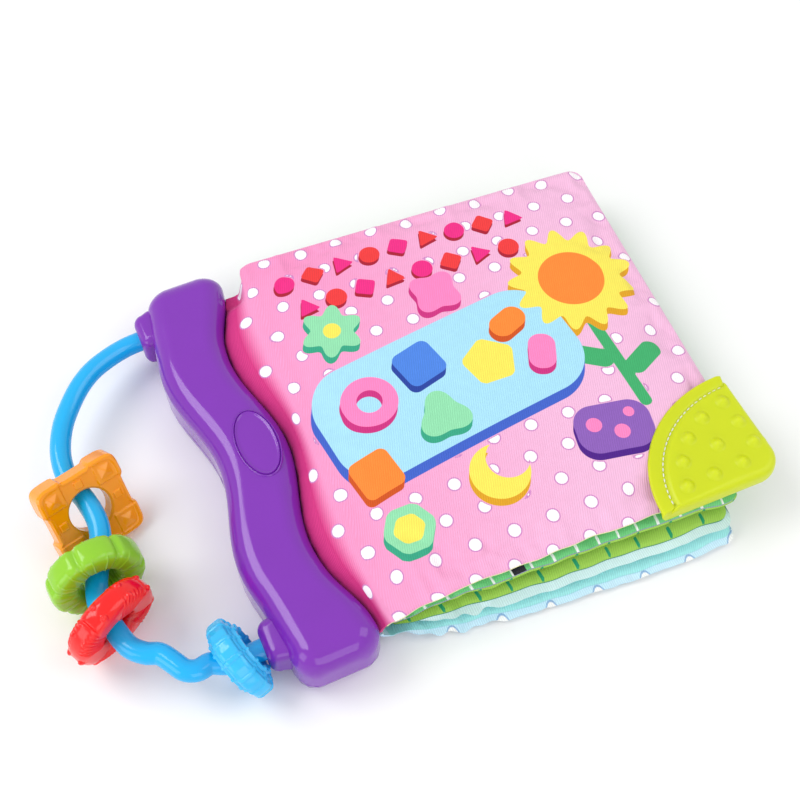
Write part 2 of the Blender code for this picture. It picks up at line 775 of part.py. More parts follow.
def lobed_ring(look):
    """A puffy ring with lobes round its rim."""
    middle, half = (lobed_radius + lobed_hole_radius) / 2, (lobed_radius - lobed_hole_radius) / 2
    profile = []
    for angle in np.linspace(0.0, 2.0 * np.pi, 12, endpoint=False):
        c, s = np.cos(angle), np.sin(angle)
        reach, rise = np.sign(c) * abs(c) ** 0.7, np.sign(s) * abs(s) ** 0.7
        profile.append((middle + half * reach, lobed_thickness / 2 * rise))
    depth_share = lobe_depth / (lobed_radius - lobed_hole_radius)
    rings = revolved(profile, 42, lambda a: 1.0 - depth_share * (1.0 - np.cos(lobe_count * a)) / 2)
    matrix = ring_matrix(lobed_place_shares, lobed_radius + floor_play, lobed_turn)
    torus_grid("ring_lobed", rings, look, matrix)


def ridged_ring(look):
    """A round ring with a raised rim band and sloping flanks."""
    half, band = ridged_thickness / 2, ridged_band
    profile = [(ridged_hole_radius, -0.5 * half), (ridged_hole_radius, 0.5 * half)]
    profile += [(ridged_hole_radius + band, 0.9 * half), (ridged_radius - 3 * band, half)]
    profile += [(ridged_radius - band, 0.75 * half), (ridged_radius, 0.55 * half)]
    profile += [(ridged_radius, -0.55 * half), (ridged_radius - band, -0.75 * half)]
    profile += [(ridged_radius - 3 * band, -half)]
    profile += [(ridged_hole_radius + band, -0.9 * half)]
    matrix = ring_matrix(ridged_place_shares, ridged_radius + floor_play, ridged_turn)
    torus_grid("ring_ridged", revolved(profile, 36), look, matrix)


def stepped_ring(look):
    """A round ring that is thickest at its hub and steps down to the rim."""
    rim, hub, hole = stepped_rim / 2, stepped_hub / 2, stepped_hole_radius
    step = (stepped_radius - hole) / 4
    middle = (rim + hub) / 2
    side = [(hole, 0.8 * hub), (hole + 0.3 * step, hub), (hole + step, hub), (hole + 1.2 * step, middle)]
    side += [(hole + 2.2 * step, middle), (hole + 2.4 * step, rim), (stepped_radius - 0.4 * step, rim)]
    side += [(stepped_radius, 0.6 * rim)]
    profile = side + [(r, -z) for r, z in reversed(side)]
    matrix = ring_matrix(stepped_place_shares, stepped_radius + floor_play, stepped_turn)
    return torus_grid("ring_stepped", revolved(profile, 30), look, matrix)


def rings():
    """The four rings, each round the bail's tube where the photograph shows it."""
    square = square_ring(((1.0, 0.28, 0.005), 0.25))
    lobed_ring(((0.37, 0.85, 0.07), 0.35))
    ridged_ring(((1.0, 0.01, 0.01), 0.25))
    stepped = stepped_ring(((0.03, 0.46, 0.95), 0.3))
    hinge("square_ring_bend", bail_place(upper_bend_shares, bail_outer_height), [square])
    hinge("stepped_ring_bend", bail_place(lower_bend_shares, bail_outer_height), [stepped])


def spine_line(height):
    """A place on the leaves' hinge line, its Y along the line."""
    return Matrix.Translation((hinge_offset, 0.0, height)) @ Matrix.Rotation(-hinge_skew, 4, "Z")


def hinge(name, place, pieces, parent=None):
    """An empty on a joint's axis, which carries the pieces that turn about it."""
    empty = bpy.data.objects.new(name, None)
    bpy.context.scene.collection.objects.link(empty)
    empty.matrix_world = place
    if parent is not None:
        empty.parent = parent
        empty.matrix_parent_inverse = parent.matrix_world.inverted()
    for piece in pieces:
        piece.parent = empty
        piece.matrix_parent_inverse = place.inverted()
    return empty


def book():
    """The four padded leaves, the cloth that joins them, and the corner teether."""
    pink, green, pale, aqua = (0.95, 0.40, 0.68), (0.45, 0.75, 0.25), (0.80, 0.92, 0.95), (0.45, 0.85, 0.85)
    faces = ((pink, green), (green, green), (green, pale), (aqua, pale))
    white, clear = ((0.85, 0.85, 0.85), 0.95), ((0.7, 0.7, 0.75), 0.2)
    leaves = []
    for leaf, (upper, lower) in zip(LEAVES, faces):
        leaves.append(padded_leaf(leaf, (upper, 0.85), (lower, 0.85), white, clear))
    spine_tape(((0.85, 0.15, 0.45), 0.85))
    front_web = gutter_web("front_gutter_web", 1, (pink, 0.85))
    back_web = gutter_web("back_gutter_web", -1, (pale, 0.85))
    teether = corner_teether(((0.65, 0.78, 0.02), 0.45))
    rise = 1.5 * leaf_pitch
    page_one = hinge("page_one_hinge", spine_line(middle_height), leaves[1] + [front_web])
    hinge("front_cover_hinge", spine_line(middle_height + rise), leaves[0] + [teether], page_one)
    page_two = hinge("page_two_hinge", spine_line(middle_height), leaves[2] + [back_web])
    hinge("back_cover_hinge", spine_line(middle_height - rise), leaves[3], page_two)


def handle():
    """The two casings, the cap, the screws and the bail."""
    purple = ((0.22, 0.04, 0.50), 0.25)
    top_shell(purple)
    bottom_shell(purple)
    oval_cap(purple)
    screws(((0.6, 0.6, 0.62), 0.3, 1.0))
    bail(((0.01, 0.38, 0.92), 0.2))


clear_scene()
handle()
rings()
book()
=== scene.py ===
"""Crinkle cloth book: printed padded leaves, a gloss handle with its bail and rings, and a silicone teether.

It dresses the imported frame. Metres, +Z up: the origin is under the handle, +Y runs along the handle, and +X
points from the handle to the book's fore-edge.
"""

import json

import bpy
import numpy as np
from mathutils import Matrix, Vector

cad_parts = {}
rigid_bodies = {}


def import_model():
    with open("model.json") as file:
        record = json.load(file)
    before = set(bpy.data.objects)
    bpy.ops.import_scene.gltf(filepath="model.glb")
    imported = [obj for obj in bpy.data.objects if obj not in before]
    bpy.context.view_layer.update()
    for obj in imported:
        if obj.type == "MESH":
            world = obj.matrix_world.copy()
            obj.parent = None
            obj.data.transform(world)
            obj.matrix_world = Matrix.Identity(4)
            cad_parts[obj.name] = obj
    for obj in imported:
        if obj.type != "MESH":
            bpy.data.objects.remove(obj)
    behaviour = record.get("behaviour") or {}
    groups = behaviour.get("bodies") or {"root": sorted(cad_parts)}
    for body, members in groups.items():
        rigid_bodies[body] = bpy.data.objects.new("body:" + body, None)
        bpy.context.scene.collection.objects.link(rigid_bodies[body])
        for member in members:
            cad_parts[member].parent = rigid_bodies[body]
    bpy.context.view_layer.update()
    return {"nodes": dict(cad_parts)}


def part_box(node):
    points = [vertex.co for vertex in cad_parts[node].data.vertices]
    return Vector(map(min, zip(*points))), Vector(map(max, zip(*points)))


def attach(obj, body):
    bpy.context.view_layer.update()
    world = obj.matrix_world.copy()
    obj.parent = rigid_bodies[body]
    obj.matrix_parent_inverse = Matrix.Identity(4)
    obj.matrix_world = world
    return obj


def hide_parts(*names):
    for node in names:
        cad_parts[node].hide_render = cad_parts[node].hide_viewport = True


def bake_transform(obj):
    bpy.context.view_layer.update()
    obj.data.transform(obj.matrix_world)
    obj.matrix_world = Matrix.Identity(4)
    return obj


bl_info = {
    "name": "Crinkle Cloth Book",
    "version": (1, 0, 0),
    "blender": (4, 5, 0),
    "location": "3D View > Sidebar > Cloth Book",
    "description": "Builds the cloth, plastic and silicone surfaces of a crinkle cloth book round its frame",
    "category": "Add Mesh",
}

for startup_object in list(bpy.data.objects):
    bpy.data.objects.remove(startup_object, do_unlink=True)
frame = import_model()

mm = 0.001
handle_low, handle_high = (np.array(corner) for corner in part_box("handle_top_shell"))

# Handle: the same wavy bar as its casing in the frame
handle_top = handle_high[2]
end_fillet, top_fillet, bottom_fillet = handle_top / 3, 8.5 * mm, 5 * mm
handle_wave, handle_wavelength = 3.8 * mm, 85 * mm
handle_half_width, end_widening = 13.9 * mm, 2.2 * mm
widening_start_share, widening_end_share = 0.6, 0.86
handle_half_length = (handle_high[1] - handle_low[1]) / 2
handle_shift = -(handle_high[1] + handle_low[1]) / 2
parting_height, parting_gap = handle_low[2], 0.4 * mm
slot_top, slot_half_length = 15.2 * mm, 78 * mm
boss_place, boss_half_width, boss_reach, boss_radius = 71 * mm, 8.25 * mm, 19.5 * mm, 4 * mm
boss_centre_height = handle_top / 2
badge_half_x, badge_half_y, badge_shift, badge_slope = 7.9 * mm, 14.8 * mm, 2.5 * mm, 2 * mm

# Bail: shares of its reach from the handle and of the sockets' place, from the far end to the near one
bail_radius, bail_reach, bail_rise = 4 * mm, 67 * mm, 4 * mm
BAIL_ROUTE = (
    (0.10, 1.0), (0.36, 0.995), (0.56, 0.92), (0.685, 0.835), (0.79, 0.725), (0.88, 0.595), (0.938, 0.44),
    (0.944, 0.28), (0.89, 0.115), (0.868, -0.04), (0.90, -0.18), (0.975, -0.35), (1.0, -0.48), (0.965, -0.62),
    (0.925, -0.735), (0.86, -0.80), (0.79, -0.835), (0.745, -0.895), (0.70, -0.96), (0.64, -0.985),
    (0.57, -0.975), (0.50, -1.0), (0.43, -1.015), (0.34, -1.0), (0.10, -1.0),
)
square_half, square_thick = 16.75 * mm, 3.5 * mm

# Book: four padded leaves on one hinge line beside the handle
hinge_offset, hinge_skew = 25.1 * mm, np.radians(1.74)
middle_height = handle_top / 2 + 0.15 * mm
leaf_height, leaf_pad, leaf_pitch, leaf_start = 165 * mm, 6.6 * mm, 6.9 * mm, 1.6 * mm
seam_thickness, lowest = 0.8 * mm, 0.1 * mm
fore_skew, fore_taper = np.radians(1.3), 2.8 * mm
roll_height, roll_start, roll_length = 10 * mm, 1.4 * mm, 11 * mm
roll_turn = np.arccos(0.72)
spine_cloth_thickness = 1.2 * mm
inner_page_shift = 1.2 * mm
spine_corner_ease, spine_corner_share = 2.2 * mm, 0.07
spine_corner_radius, fore_corner_radius = 8 * mm, 5 * mm
valley_start = 4.6 * mm
gather_depth, seam_wave = 3 * mm, 0.45 * mm
coarse_cell = 3 * mm
# Each leaf's width, slant, bow, place in the stack, and how far its lower face hangs out below the near seam
LEAVES = {
    "front_cover": (150.3 * mm, np.radians(2.6), 2.0 * mm, 1.5, 1.0 * mm),
    "page_one": (142.0 * mm, np.radians(3.4), 0.8 * mm, 0.5, 2.4 * mm),
    "page_two": (137.8 * mm, np.radians(4.8), -1.5 * mm, -0.5, 6.2 * mm),
    "back_cover": (138.5 * mm, np.radians(6.3), -3.5 * mm, -1.5, 5.2 * mm),
}

# Teether: along its legs, and in from its sewn arc
near_leg, fore_leg = 51.5 * mm, 44.4 * mm
near_overhang, fore_overhang = 0.3 * mm, 8.0 * mm
near_leg_turn, fore_leg_turn = np.radians(1.2), np.radians(4.5)
teether_corner_radius = 9.5 * mm
flange_width, stitch_inset, lip_drop = 5.5 * mm, 5.2 * mm, 1.8 * mm
teether_seam = middle_height + 1.5 * leaf_pitch
teether_base = teether_seam + leaf_pad / 2 + 0.3 * mm
nub_height, nub_arcs = 1.9 * mm, ((0.754, 5, 0.13, 0.89), (0.537, 3, 0.20, 0.86), (0.327, 2, 0.36, 0.78))

# Print: how soft an ink's edge is, in millimetres
crisp, fine = 0.15, 0.12


# ---------------------------------------------------------------- numbers and meshes


def smooth(value, low, high):
    """A smooth step: 0 up to low, 1 from high on, and 3t squared less 2t cubed between them."""
    t = np.clip((value - low) / (high - low), 0.0, 1.0)
    return t * t * (3.0 - 2.0 * t)


def turns(count):
    """Even steps once round a circle, in radians."""
    return np.linspace(0, 2 * np.pi, count, endpoint=False)


def quarter(count):
    """Even steps over a quarter turn, in radians, with both its ends."""
    return np.linspace(0, np.pi / 2, count)


def powered(value, power):
    """A power that keeps the sign, which makes a circle's sine and cosine those of a squarer section."""
    return np.sign(value) * np.abs(value) ** power


def catmull_rom(a, b, c, d, t):
    """The Catmull-Rom cubic between b and c, which lie between a and d."""
    bend = (2 * a - 5 * b + 4 * c - d) * t**2 + (3 * b - a - 3 * c + d) * t**3
    return (2 * b + (c - a) * t + bend) / 2


def linear(hex_code):
    """An sRGB hex colour as linear red, green and blue, with a full alpha."""
    value = np.array([int(hex_code[i : i + 2], 16) for i in (1, 3, 5)]) / 255.0
    made = np.where(value <= 0.04045, value / 12.92, ((value + 0.055) / 1.055) ** 2.4)
    return (*made.tolist(), 1.0)


def grid_quads(rows, columns, wrap_rows=False, wrap_columns=False):
    """The quads of a grid of points numbered row by row, joined up at its ends where it wraps."""
    i = np.arange(rows if wrap_rows else rows - 1)[:, None]
    j = np.arange(columns if wrap_columns else columns - 1)[None, :]
    k, m = (i + 1) % rows, (j + 1) % columns
    corners = (i * columns + j, k * columns + j, k * columns + m, i * columns + m)
    return np.stack(np.broadcast_arrays(*corners), axis=-1).reshape(-1, 4)


def enclosed_volume(points, face_sets):
    """A sixth of the sum of each triangle's triple product: positive where the faces point outwards."""
    total = 0.0
    for faces in face_sets:
        for a, b, c in [(0, 1, 2)] if faces.shape[1] == 3 else [(0, 1, 2), (0, 2, 3)]:
            cross = np.cross(points[faces[:, b]], points[faces[:, c]])
            total += np.einsum("ij,ij->", points[faces[:, a]], cross) / 6
    return total


def mesh_piece(name, points, face_sets, look, crease=0.6):
    """One closed mesh, smooth but for its creases, its faces turned outwards."""
    points = np.asarray(points, float).reshape(-1, 3)
    if enclosed_volume(points, face_sets) < 0:
        face_sets = [faces[:, ::-1] for faces in face_sets]
    mesh = bpy.data.meshes.new(name)
    mesh.from_pydata(points.tolist(), [], [face for faces in face_sets for face in faces.tolist()])
    mesh.shade_smooth()
    mesh.set_sharp_from_angle(angle=crease)
    mesh.materials.append(look)
    piece = bpy.data.objects.new(name, mesh)
    bpy.context.scene.collection.objects.link(piece)
    return piece


def closed_loft(name, sections, look, crease=0.6):
    """Quads between like rings of points, and a fan of triangles to the middle of each end ring."""
    count, around = sections.shape[:2]
    middles = np.stack([sections[0].mean(axis=0), sections[-1].mean(axis=0)])
    j = np.arange(around)
    k, last, apex = (j + 1) % around, (count - 1) * around, np.full(around, count * around)
    near, far = np.stack([j, k, apex], axis=-1), np.stack([last + k, last + j, apex + 1], axis=-1)
    points = np.concatenate([sections.reshape(-1, 3), middles])
    return mesh_piece(name, points, [grid_quads(count, around, False, True), near, far], look, crease)


def sheet_faces(rows, columns):
    """The faces of two like grids of points, one over the other, and of the strip round their rim."""
    count = rows * columns
    over = grid_quads(rows, columns)
    edge = np.arange(count).reshape(rows, columns)
    rim = np.concatenate([edge[:-1, 0], edge[-1, :-1], edge[:0:-1, -1], edge[0, :0:-1]])
    after = np.roll(rim, -1)
    return [over, over[:, ::-1] + count, np.stack([rim, rim + count, after + count, after], axis=-1)], rim


def two_sheets(name, upper, lower, looks, chart):
    """A closed piece of cloth from its two faces.

    looks are the materials of the upper sheet, the lower sheet and the strip round them. chart is each grid
    point's place on the flat cloth, which becomes the UV map: one unit is 100 mm.
    """
    face_sets, _ = sheet_faces(*upper.shape[:2])
    points = np.concatenate([upper.reshape(-1, 3), lower.reshape(-1, 3)])
    piece = mesh_piece(name, points, face_sets, looks[0], 1.1)
    for look in looks[1:]:
        piece.data.materials.append(look)
    look_of_face = np.repeat([0, 1, 2], [len(faces) for faces in face_sets]).astype(np.int32)
    piece.data.polygons.foreach_set("material_index", look_of_face)
    corners = np.empty(len(piece.data.loops), np.int32)
    piece.data.loops.foreach_get("vertex_index", corners)
    flat = np.tile(chart.reshape(-1, 2), (2, 1)) / 0.1
    layer = piece.data.uv_layers.new(name="cloth")
    layer.uv.foreach_set("vector", flat[corners].astype(np.float32).ravel())
    return piece


def fit(piece, body, slot, *nodes):
    """The piece rides on a body of the frame, and stands for these nodes of it."""
    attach(piece, body)
    if nodes:
        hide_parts(*nodes)
    return piece


# ---------------------------------------------------------------- materials


def add_node(tree, kind, inputs=(), **settings):
    """Adds a node with its own settings. inputs gives each socket a value, or a socket to be linked from."""
    node = tree.nodes.new(kind)
    for key, value in settings.items():
        setattr(node, key, value)
    for key, value in dict(inputs).items():
        if isinstance(value, bpy.types.NodeSocket):
            tree.links.new(value, node.inputs[key])
        else:
            node.inputs[key].default_value = value
    return node


def new_material(name, finish):
    """A material with one Principled shader, whose sockets get the finish."""
    made = bpy.data.materials.new(name)
    made.use_nodes = True
    tree = made.node_tree
    tree.nodes.clear()
    shader = add_node(tree, "ShaderNodeBsdfPrincipled", finish)
    add_node(tree, "ShaderNodeOutputMaterial", {"Surface": shader.outputs["BSDF"]})
    return made, tree, shader


def solid_material(name, finish, worn=None, relief=None, tints=None):
    """A material whose patterns lie through the piece, on Object coordinates.

    worn is a noise's inputs and the span that it spreads the roughness over, and tints are the two colours
    that it drifts between. relief is a texture's kind, inputs and settings, and the inputs of its bump.
    """
    made, tree, shader = new_material(name, finish)
    place = add_node(tree, "ShaderNodeTexCoord").outputs["Object"]
    if worn:
        patches = add_node(tree, "ShaderNodeTexNoise", {"Vector": place, **worn[0]}).outputs["Fac"]
        dulled = add_node(tree, "ShaderNodeMapRange", {"Value": patches, **worn[1]})
        tree.links.new(dulled.outputs["Result"], shader.inputs["Roughness"])
    if tints:
        tint = add_node(tree, "ShaderNodeMix", {0: patches, 6: tints[0], 7: tints[1]}, data_type="RGBA")
        tree.links.new(tint.outputs[2], shader.inputs["Base Color"])
    if relief:
        kind, inputs, settings, bump = relief
        texture = add_node(tree, kind, {"Vector": place, **inputs}, **settings)
        raised = add_node(tree, "ShaderNodeBump", {"Height": texture.outputs["Fac"], **bump})
        tree.links.new(raised.outputs["Normal"], shader.inputs["Normal"])
    return made


def moulded_plastic(name, colour, depth=0.0):
    """Injection-moulded gloss ABS or polypropylene.

    The mould's polish leaves a clear gloss with faint sink ripples some 9 mm apart, and handling dulls it in
    soft patches. depth is how far light enters a paler, more translucent plastic.
    """
    finish = {"IOR": 1.45, "Coat Weight": 0.1, "Coat Roughness": 0.05}
    if depth:
        finish.update({"Subsurface Weight": 0.25, "Subsurface Scale": depth})
        finish["Subsurface Radius"] = (1.0, 0.7, 0.5)
    handled = {"From Min": 0.3, "From Max": 0.7, "To Min": 0.09, "To Max": 0.15}
    ripples_in_mould = {"Scale": 110.0, "Detail": 1.0}, {}, {"Strength": 0.04, "Distance": 0.001}
    tints = [tuple(c * share for c in colour[:3]) + (1.0,) for share in (0.94, 1.05)]
    worn = {"Scale": 60.0, "Detail": 3.0}, handled
    return solid_material(name, finish, worn, ("ShaderNodeTexNoise", *ripples_in_mould), tints)


def cast_silicone(name, colour):
    """Compression-moulded silicone rubber: satin, with light soaking some millimetres into its edges."""
    finish = {"Base Color": colour, "Roughness": 0.38, "IOR": 1.41, "Subsurface Weight": 0.45}
    finish.update({"Subsurface Scale": 0.004, "Subsurface Radius": (1.0, 1.0, 0.3)})
    dusty = {"Scale": 45.0, "Detail": 3.0}, {"To Min": 0.3, "To Max": 0.46}
    skin = {"Scale": 900.0, "Detail": 2.0}, {}, {"Strength": 0.06, "Distance": 0.0002}
    return solid_material(name, finish, dusty, ("ShaderNodeTexNoise", *skin))


def plated_steel(name):
    """Zinc-plated steel screw heads, turned, so that fine rings brush their gloss."""
    brushed = {"Scale": 2500.0}, {"To Min": 0.22, "To Max": 0.42}
    return solid_material(name, {"Metallic": 1.0, "Base Color": linear("#c4c4c8")}, brushed)


def spun_thread(name, colour):
    """Polyester sewing thread, three plies twisted every 1.2 mm."""
    plies = {"Scale": 400.0, "Distortion": 2.0}, {"bands_direction": "DIAGONAL"}
    twist = ("ShaderNodeTexWave", *plies, {"Strength": 0.5, "Distance": 0.0001})
    return solid_material(name, {"Roughness": 0.55, "Sheen Weight": 0.3, "Base Color": colour}, relief=twist)


def woven_bump(tree, place, shader):
    """A fine twill: its diagonal ribs are 0.85 mm apart, and slubs break them up every few millimetres."""
    turned = add_node(tree, "ShaderNodeMapping", {"Vector": place, "Rotation": (0.0, 0.0, 0.3)})
    threads = {"Vector": turned.outputs["Vector"], "Scale": 37.0, "Distortion": 1.2, "Detail": 2.0}
    ribs = add_node(tree, "ShaderNodeTexWave", threads).outputs["Fac"]
    patchy = add_node(tree, "ShaderNodeTexNoise", {"Vector": place, "Scale": 28.0, "Detail": 2.0})
    crossed = add_node(tree, "ShaderNodeMath", {0: ribs, 1: patchy.outputs["Fac"]}, operation="MULTIPLY")
    slubs = add_node(tree, "ShaderNodeTexNoise", {"Vector": place, "Scale": 9.0, "Detail": 4.0})
    both = add_node(tree, "ShaderNodeMath", {0: slubs.outputs["Fac"], 1: crossed.outputs[0]}, operation="ADD")
    bump = {"Height": both.outputs[0], "Strength": 0.35, "Distance": 0.0005}
    tree.links.new(add_node(tree, "ShaderNodeBump", bump).outputs["Normal"], shader.inputs["Normal"])
    return crossed.outputs[0]


def printed_cloth(name, grounds, inks=()):
    """Polyester satin with a sublimation print, woven fine and a little shiny along its threads.

    grounds are the cloth's two colours, which drift into each other. Each ink is an attribute's name, its
    colour, and how soft its edge is in millimetres: it covers where the attribute, a distance in
    millimetres, is above zero.
    """
    finish = {"Roughness": 0.62, "Sheen Weight": 0.08, "Sheen Roughness": 0.4, "Specular IOR Level": 0.25}
    made, tree, shader = new_material(name, finish)
    place = add_node(tree, "ShaderNodeUVMap", uv_map="cloth").outputs["UV"]
    drift = add_node(tree, "ShaderNodeTexNoise", {"Vector": place, "Scale": 1.3, "Detail": 1.0})
    ground = {0: drift.outputs["Fac"], 6: grounds[0], 7: grounds[1]}
    colour = add_node(tree, "ShaderNodeMix", ground, data_type="RGBA").outputs[2]
    for attribute, ink, softness in inks:
        distance = add_node(tree, "ShaderNodeAttribute", attribute_name=attribute).outputs["Fac"]
        edge = {"Value": distance, "From Min": -softness, "From Max": softness}
        covered = add_node(tree, "ShaderNodeMapRange", edge, interpolation_type="SMOOTHSTEP")
        over = {0: covered.outputs["Result"], 6: colour, 7: ink}
        colour = add_node(tree, "ShaderNodeMix", over, data_type="RGBA").outputs[2]
    shade = {"Value": woven_bump(tree, place, shader), "From Max": 0.6, "To Min": 0.9, "To Max": 1.07}
    light = add_node(tree, "ShaderNodeMapRange", shade).outputs["Result"]
    lit = add_node(tree, "ShaderNodeVectorMath", {0: colour, "Scale": light}, operation="SCALE")
    tree.links.new(lit.outputs["Vector"], shader.inputs["Base Color"])
    return made


# ---------------------------------------------------------------- handle


def handle_centre(y):
    """The bar's wavy middle line: a cosine along the handle."""
    return handle_wave * np.cos(2 * np.pi * y / handle_wavelength)


def handle_half(y):
    """Half the bar's width, a little more towards both ends."""
    along = np.abs(y + handle_shift) / handle_half_length
    return handle_half_width + end_widening * smooth(along, widening_start_share, widening_end_share)


def upright_section(half, low, high, top, bottom, split_near, split_far, side_points=12, arc_points=16):
    """A rounded rectangle cut off below: across and height, one row for each value of half.

    It runs up the positive side, over the top and down the other. A side's width at a height is full, less
    what the lower fillet's circle takes; the top corners are quarter circles.
    """
    sizes = half, low, high, top, bottom
    half, low, high, top, bottom = (np.broadcast_to(size, half.shape)[:, None] for size in sizes)
    share = np.linspace(0, 1, side_points, endpoint=False)[None, :] ** 1.5
    turn = quarter(arc_points)[None, :]

    def side(split):
        foot = np.maximum(np.broadcast_to(split, half.shape[0])[:, None], low)
        z = foot + (high - top - foot) * share
        drop = np.clip(low + bottom - z, 0.0, bottom)
        x = half - bottom + np.sqrt(bottom**2 - drop**2)
        # Its lowest two points are a step, which with the underside's edge makes the parting line's groove
        x, z = np.concatenate([x[:, :1] - parting_gap, x], axis=1), np.concatenate([z[:, :1], z], axis=1)
        z[:, 1:2] += parting_gap
        return x, z

    (near_x, near_z), (far_x, far_z) = side(split_near), side(split_far)
    arc_x, arc_z = half - top + top * np.cos(turn), high - top + top * np.sin(turn)
    across = np.concatenate([near_x, arc_x, -arc_x[:, ::-1], -far_x[:, ::-1]], axis=1)
    height = np.concatenate([near_z, arc_z, arc_z[:, ::-1], far_z[:, ::-1]], axis=1)
    return across, height


def handle_upper_casing(look):
    """The bar's upper casing, a rounded rectangle carried along the wave and drawn in round its ends."""
    flat_half = handle_half_length - end_fillet
    steps = np.linspace(-flat_half, flat_half, 150)[1:-1]
    nudge = np.array([-0.01, 0.01]) * mm
    slot_ends = np.concatenate([side * slot_half_length + handle_shift + nudge for side in (-1, 1)])
    rounded = flat_half + end_fillet * np.sin(quarter(14))
    along = np.sort(np.concatenate([-rounded, steps, slot_ends, rounded]))
    inset = end_fillet - np.sqrt(end_fillet**2 - np.clip(np.abs(along) - flat_half, 0, end_fillet) ** 2)
    y = along - handle_shift
    beside_slot = np.where(np.abs(y) < slot_half_length, slot_top, parting_height)
    top, bottom = top_fillet - inset / 2, bottom_fillet - inset / 2
    half = handle_half(y) - inset
    x, z = upright_section(half, inset, handle_top - inset, top, bottom, beside_slot, parting_height)
    sections = np.stack([x + handle_centre(y)[:, None], np.broadcast_to(y[:, None], x.shape), z], axis=-1)
    return closed_loft("handle_upper_casing", sections, look, 0.7)


def bail_socket(name, side, look):
    """The rounded block that takes an end of the bail: a rounded square carried out from the bar."""
    turn = quarter(10)
    straight = np.array([5, 9, 13]) * mm
    reach = np.concatenate([straight, boss_reach - boss_radius + boss_radius * np.sin(turn)])
    inset = np.concatenate([0 * straight, boss_radius * (1 - np.cos(turn))])
    flare = 0.9 * mm * (1 - smooth(reach, 12.4 * mm, 14.6 * mm))
    low, high = boss_centre_height - boss_half_width + inset, boss_centre_height + boss_half_width - inset
    radius = np.maximum(boss_radius - inset * 0.8, 0.5 * mm)
    half = boss_half_width - inset + flare
    y, z = upright_section(half, low, high + flare / 2, radius, radius, parting_height, parting_height)
    sections = np.stack([np.broadcast_to(-reach[:, None], y.shape), y + side * boss_place, z], axis=-1)
    return closed_loft(name, sections, look, 0.7)


def oval_badge(look):
    """The snap-in oval cap, bare: ellipses stacked into a collar, a groove, a rim and a low dome."""
    inset = np.array([-0.5, -0.5, -0.1, 0.1, 0.3, 0.5, 0.62, 0.78, 1.0, 1.25, 2.0]) * mm
    rise = np.array([-1.1, 0.02, 0.5, 0.55, 0.1, 0.05, 0.5, 0.8, 0.8, 0.5, 0.42]) * mm
    shares = np.array([0.62, 0.5, 0.36, 0.2, 0.08]) / 0.7
    wide = np.concatenate([badge_half_x - inset, (badge_half_x - badge_slope) * shares])
    long = np.concatenate([badge_half_y - inset, (badge_half_y - badge_slope) * shares])
    height = np.concatenate([rise, 0.38 * mm * (1 - shares**2) + 0.42 * mm]) + handle_top
    x = handle_wave + badge_shift + wide[:, None] * np.cos(turns(96))
    y = long[:, None] * np.sin(turns(96))
    return closed_loft("oval_badge", np.stack([x, y, height[:, None] + 0 * x], axis=-1), look, 1.0)


# ---------------------------------------------------------------- bail and rings


def wavy_bail(look):
    """A flat D that rises 4 mm away from the handle and is wavy on its near half, carried as a round rod.

    Catmull-Rom cubics run through the route's points. Each circle's sideways and normal are cross products
    with +Z, because the route never stands upright.
    """
    out, along = np.array(BAIL_ROUTE).T
    height = boss_centre_height + bail_rise * smooth(out, 0.25, 0.75)
    points = np.column_stack([-bail_reach * out, boss_place * along, height])
    padded = np.concatenate([[2 * points[0] - points[1]], points, [2 * points[-1] - points[-2]]])
    neighbours = (padded[k : len(padded) - 3 + k, None] for k in range(4))
    curve = catmull_rom(*neighbours, np.linspace(0, 1, 12, endpoint=False)[None, :, None])
    route = np.concatenate([curve.reshape(-1, 3), points[-1:]])
    ahead = np.gradient(route, axis=0)
    ahead /= np.linalg.norm(ahead, axis=1, keepdims=True)
    sideways = np.cross(ahead, (0.0, 0.0, 1.0))
    sideways /= np.linalg.norm(sideways, axis=1, keepdims=True)
    normal = np.cross(sideways, ahead)
    turn = turns(32)[None, :, None]
    around = np.cos(turn) * sideways[:, None] + np.sin(turn) * normal[:, None]
    return closed_loft("wavy_bail", route[:, None] + bail_radius * around, look)


def ring_matrix(place, turn):
    """A frame whose Z is the ring's axis: turned by a heading, leaned back from flat, and rolled about it."""
    heading, lean, roll = np.radians(turn)
    lay = Matrix.Rotation(heading, 4, "Z") @ Matrix.Rotation(lean, 4, "X") @ Matrix.Rotation(roll, 4, "Z")
    return Matrix.Translation(Vector(place)) @ lay


def carried_round(name, angle, out, height, look, matrix, crease):
    """A section carried round an axis: how far out and how far along it each point lies, at each angle.

    It is put in its place by the matrix, and lies flat where it would pass the floor.
    """
    points = np.stack([out * np.cos(angle), out * np.sin(angle), height], axis=-1)
    quads = grid_quads(*points.shape[:2], True, True)
    points = points.reshape(-1, 3) @ np.array(matrix.to_3x3()).T + np.array(matrix.translation)
    points[:, 2] = np.maximum(points[:, 2], 0.0)
    return mesh_piece(name, points, [quads], look, crease)


